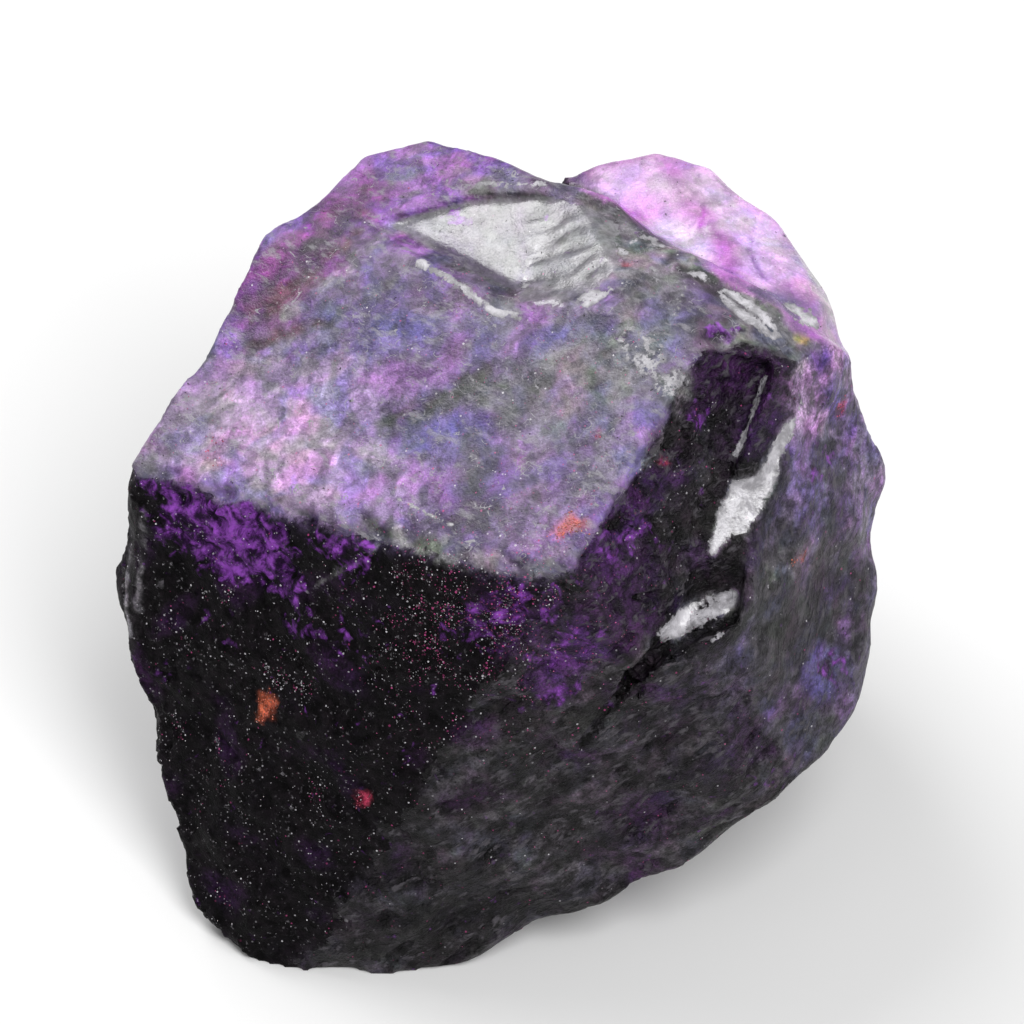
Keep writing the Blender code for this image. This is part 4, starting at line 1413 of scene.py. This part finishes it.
class CrystalColours(bpy.types.PropertyGroup):
    """The colours of the stone."""

    # Black also paints shade: in the notch's pockets, the cracks, the small pits and along the bottom
    # of the front.
    black: colour_setting("Black", "The darkest grains of the broken wall", (0.004, 0.003, 0.004))
    # Soot also paints shade: in the dimples of the front and the grooves of the flank.
    soot: colour_setting("Soot", "The dark ground of the front and the notch", (0.011, 0.009, 0.011))
    slate: colour_setting("Slate", "Dark grey with a little violet", (0.050, 0.045, 0.058))
    moss: colour_setting("Moss", "Dark grey with a little green", (0.046, 0.050, 0.046))
    # Painted sheen: this grey stands in for the floor's reflection on the front, and lies as sheen on
    # the hidden faces and in the streaks of dull finishes.
    pewter: colour_setting("Pewter", "Grey sheen of the front", (0.072, 0.065, 0.076))
    # Ash is also the grey of the painted glints.
    ash: colour_setting("Ash", "Grey of worn edges", (0.150, 0.142, 0.155))
    # Frost also paints sparkle: the white specks in the finish stand in for glints.
    frost: colour_setting("Frost", "Near white of scratched and sparkling grains", (0.60, 0.58, 0.62))
    # Dusk also paints light and shade: the lighter crests of the flank's flutes, and the shade at the
    # lobe's foot and below the lobe.
    dusk: colour_setting("Dusk", "Grey violet of the top", (0.140, 0.098, 0.215))
    heather: colour_setting("Heather", "Light violet of the top", (0.250, 0.160, 0.350))
    sage: colour_setting("Sage", "Grey green of the frosted rims", (0.175, 0.178, 0.168))
    rust: colour_setting("Rust", "Brown red of the thin rims", (0.095, 0.030, 0.055))
    fuchsia: colour_setting("Fuchsia", "Clear reddish purple in the lobe", (0.420, 0.100, 0.500))
    bright_violet: colour_setting(
        "Bright violet", "Violet where light gets into the stone", (0.125, 0.030, 0.205),
    )
    # Chalk also paints highlights: the white of the treads, of the bright edges and of the slivers
    # stands in for reflected light.
    chalk: colour_setting(
        "Chalk", "White of the treads, the shards and the scratches", (0.480, 0.465, 0.500),
    )
    amber: colour_setting("Amber", "A yellow speck", (0.420, 0.340, 0.110))
    # Lilac also paints the light on the flank's shoulder.
    lilac: colour_setting("Lilac", "Pale violet of the top's tip", (0.370, 0.250, 0.420))
    orchid: colour_setting("Orchid", "Clear light purple", (0.210, 0.085, 0.300))
    magenta: colour_setting("Magenta", "Reddish purple of the thin rims", (0.130, 0.022, 0.150))
    violet: colour_setting("Violet", "Strong purple", (0.100, 0.024, 0.165))
    plum: colour_setting("Plum", "Dark purple", (0.030, 0.009, 0.042))
    indigo: colour_setting("Indigo", "Blue violet", (0.090, 0.066, 0.220))
    deep_blue: colour_setting("Deep blue", "Blue of the clearest spots", (0.038, 0.016, 0.160))
    glass: colour_setting("Glass", "Grey of the fresh glassy breaks", (0.130, 0.125, 0.140))
    # On the flake this grey stands partly in place of the light that its glassy face reflects.
    pale_grey: colour_setting("Pale grey", "Grey of the flake and the fan", (0.200, 0.194, 0.208))
    dusk_shade: colour_setting("Dusk shade", "Grey violet of the flake's riser", (0.072, 0.056, 0.094))
    # On the treads this pale grey is a painted highlight, in place of the light that they reflect.
    ice: colour_setting("Ice", "Pale grey of the treads", (0.260, 0.250, 0.275))
    mauve: colour_setting("Mauve", "The clear lobe", (0.500, 0.260, 0.530))
    pearl: colour_setting("Pearl", "The clear lobe where it is thinnest", (0.680, 0.520, 0.730))
    moss_shade: colour_setting(
        "Moss shade", "Dark grey green of the mark across the top", (0.024, 0.028, 0.024),
    )
    fuchsia_shade: colour_setting(
        "Fuchsia shade", "Reddish purple at the thin rims", (0.230, 0.040, 0.230),
    )
    pink: colour_setting("Pink", "Pink grains", (0.420, 0.060, 0.200))
    red: colour_setting("Red", "Red flecks", (0.450, 0.045, 0.100))
    orange: colour_setting("Orange", "Orange flecks", (0.520, 0.120, 0.060))


class CrystalStudio(bpy.types.PropertyGroup):
    """The camera and the lights."""

    camera_distance: bpy.props.FloatProperty(
        name="Camera distance", description="From the camera to the middle of the drawing",
        default=0.28, unit="LENGTH", subtype="DISTANCE",
    )
    picture_width: bpy.props.FloatProperty(
        name="Picture width", description="What the picture spans at the middle of the drawing",
        default=0.08, unit="LENGTH", subtype="DISTANCE",
    )
    front_power: bpy.props.FloatProperty(
        name="Front light", description="Power of the softbox in front, over the stone",
        default=2.6, unit="POWER",
    )
    back_power: bpy.props.FloatProperty(
        name="Back light", description="Power of the softbox behind, over the stone",
        default=2.2, unit="POWER",
    )
    air_brightness: bpy.props.FloatProperty(
        name="Air", description="Brightness of the pale air around",
        default=0.40, min=0.0,
    )


def palette_of(colours):
    """The colours set in the panel, by name."""
    return {name: tuple(getattr(colours, name)) for name in CrystalColours.__annotations__}


class CRYSTAL_OT_stone(bpy.types.Operator):
    """Builds the fine stone over its solid"""

    bl_idname = "crystal.stone"
    bl_label = "Fine stone"

    def execute(self, context):
        palette = palette_of(context.scene.crystal_colours)
        stone = wrap_stone(context.scene.crystal_sizes.skin_voxel)
        roughen(stone)
        thin_out(stone)
        stone.data.materials.clear()
        for name, finish in FINISHES.items():
            stone.data.materials.append(stone_material(name, finish, palette))
        paint_stone(stone, palette)
        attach(stone, BODY)
        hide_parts(NODE)
        return {"FINISHED"}


class CRYSTAL_OT_grains(bpy.types.Operator):
    """Strews the white, pink, orange and red grains over the fine stone"""

    bl_idname = "crystal.grains"
    bl_label = "Grains and flecks"

    def execute(self, context):
        sizes = context.scene.crystal_sizes
        palette = palette_of(context.scene.crystal_colours)
        for name, grain in GRAINS.items():
            material = grain_material(grain.material, palette[grain.colour], grain.roughness)
            cover = grain.cover * sizes.grain_cover
            strew(name, grain.field, cover, grain.size * sizes.grain_size, material)
        return {"FINISHED"}


def hang_softbox(name, towards, distance, size, power, aim):
    """A square light that hangs in one direction from the stone and faces it."""
    lamp = bpy.data.lights.new(name, "AREA")
    lamp.shape = "RECTANGLE"
    lamp.size = size[0]
    lamp.size_y = size[1]
    lamp.energy = power
    thing = new_object(name, lamp)
    way = Vector(towards).normalized()
    thing.location = aim + way * distance
    thing.rotation_euler = way.to_track_quat("Z", "Y").to_euler()


def lay_floor(radius, brightness):
    bm = bmesh.new()
    bmesh.ops.create_circle(bm, cap_ends=True, segments=64, radius=radius)
    mesh = bpy.data.meshes.new("floor")
    bm.to_mesh(mesh)
    bm.free()
    floor = new_object("floor", mesh)
    paper = bpy.data.materials.new("floor_paper")
    paper.use_nodes = True
    shader = paper.node_tree.nodes["Principled BSDF"]
    shader.inputs["Base Color"].default_value = (brightness, brightness, brightness, 1.0)
    shader.inputs["Roughness"].default_value = 0.9
    shader.inputs["Specular IOR Level"].default_value = 0.1
    mesh.materials.append(paper)


class CRYSTAL_OT_stage(bpy.types.Operator):
    """Lays the floor, hangs the softboxes and sets up the camera"""

    bl_idname = "crystal.stage"
    bl_label = "Studio"

    def execute(self, context):
        studio = context.scene.crystal_studio
        aim = Vector(DRAWING_ORIGIN) * MM
        lay_floor(radius=4.0, brightness=0.80)
        hang_softbox("front_softbox", (0.31, -0.38, 0.87), 0.60, (0.24, 0.46), studio.front_power, aim)
        hang_softbox("back_softbox", (-0.40, 0.50, 0.77), 0.60, (0.32, 0.32), studio.back_power, aim)
        world = bpy.data.worlds.new("studio_air")
        world.use_nodes = True
        world.node_tree.nodes["Background"].inputs["Color"].default_value = (1.0, 1.0, 1.0, 1.0)
        world.node_tree.nodes["Background"].inputs["Strength"].default_value = studio.air_brightness
        context.scene.world = world
        context.scene.view_settings.view_transform = "Standard"
        lens = bpy.data.cameras.new("camera")
        lens.sensor_width = 36.0
        lens.lens = 36.0 * studio.camera_distance / studio.picture_width
        lens.clip_start = 0.01
        lens.clip_end = 20.0
        camera = new_object("camera", lens)
        camera.location = aim + standing_turn() @ Vector((0.0, 0.0, studio.camera_distance))
        camera.rotation_euler = standing_turn().to_euler()
        context.scene.camera = camera
        return {"FINISHED"}


class CRYSTAL_PT_panel(bpy.types.Panel):
    """Lists what the crystal is made of"""

    bl_label = "Rough Sapphire Crystal"
    bl_idname = "CRYSTAL_PT_panel"
    bl_space_type = "VIEW_3D"
    bl_region_type = "UI"
    bl_category = "Crystal"

    def draw(self, context):
        for name in SETTINGS:
            settings = getattr(context.scene, name)
            box = self.layout.box()
            for setting in type(settings).__annotations__:
                box.prop(settings, setting)
        for operator in PIECES:
            self.layout.operator(operator.bl_idname)


SETTINGS = {
    "crystal_sizes": CrystalSizes,
    "crystal_colours": CrystalColours,
    "crystal_studio": CrystalStudio,
}
PIECES = (CRYSTAL_OT_stone, CRYSTAL_OT_grains, CRYSTAL_OT_stage)


def register():
    for kind in (*SETTINGS.values(), *PIECES, CRYSTAL_PT_panel):
        bpy.utils.register_class(kind)
    for name, kind in SETTINGS.items():
        setattr(bpy.types.Scene, name, bpy.props.PointerProperty(type=kind))


def unregister():
    for name in SETTINGS:
        delattr(bpy.types.Scene, name)
    for kind in reversed((*SETTINGS.values(), *PIECES, CRYSTAL_PT_panel)):
        bpy.utils.unregister_class(kind)


def main():
    register()
    bpy.ops.crystal.stone()
    bpy.ops.crystal.grains()
    bpy.ops.crystal.stage()


if __name__ == "__main__":
    main()
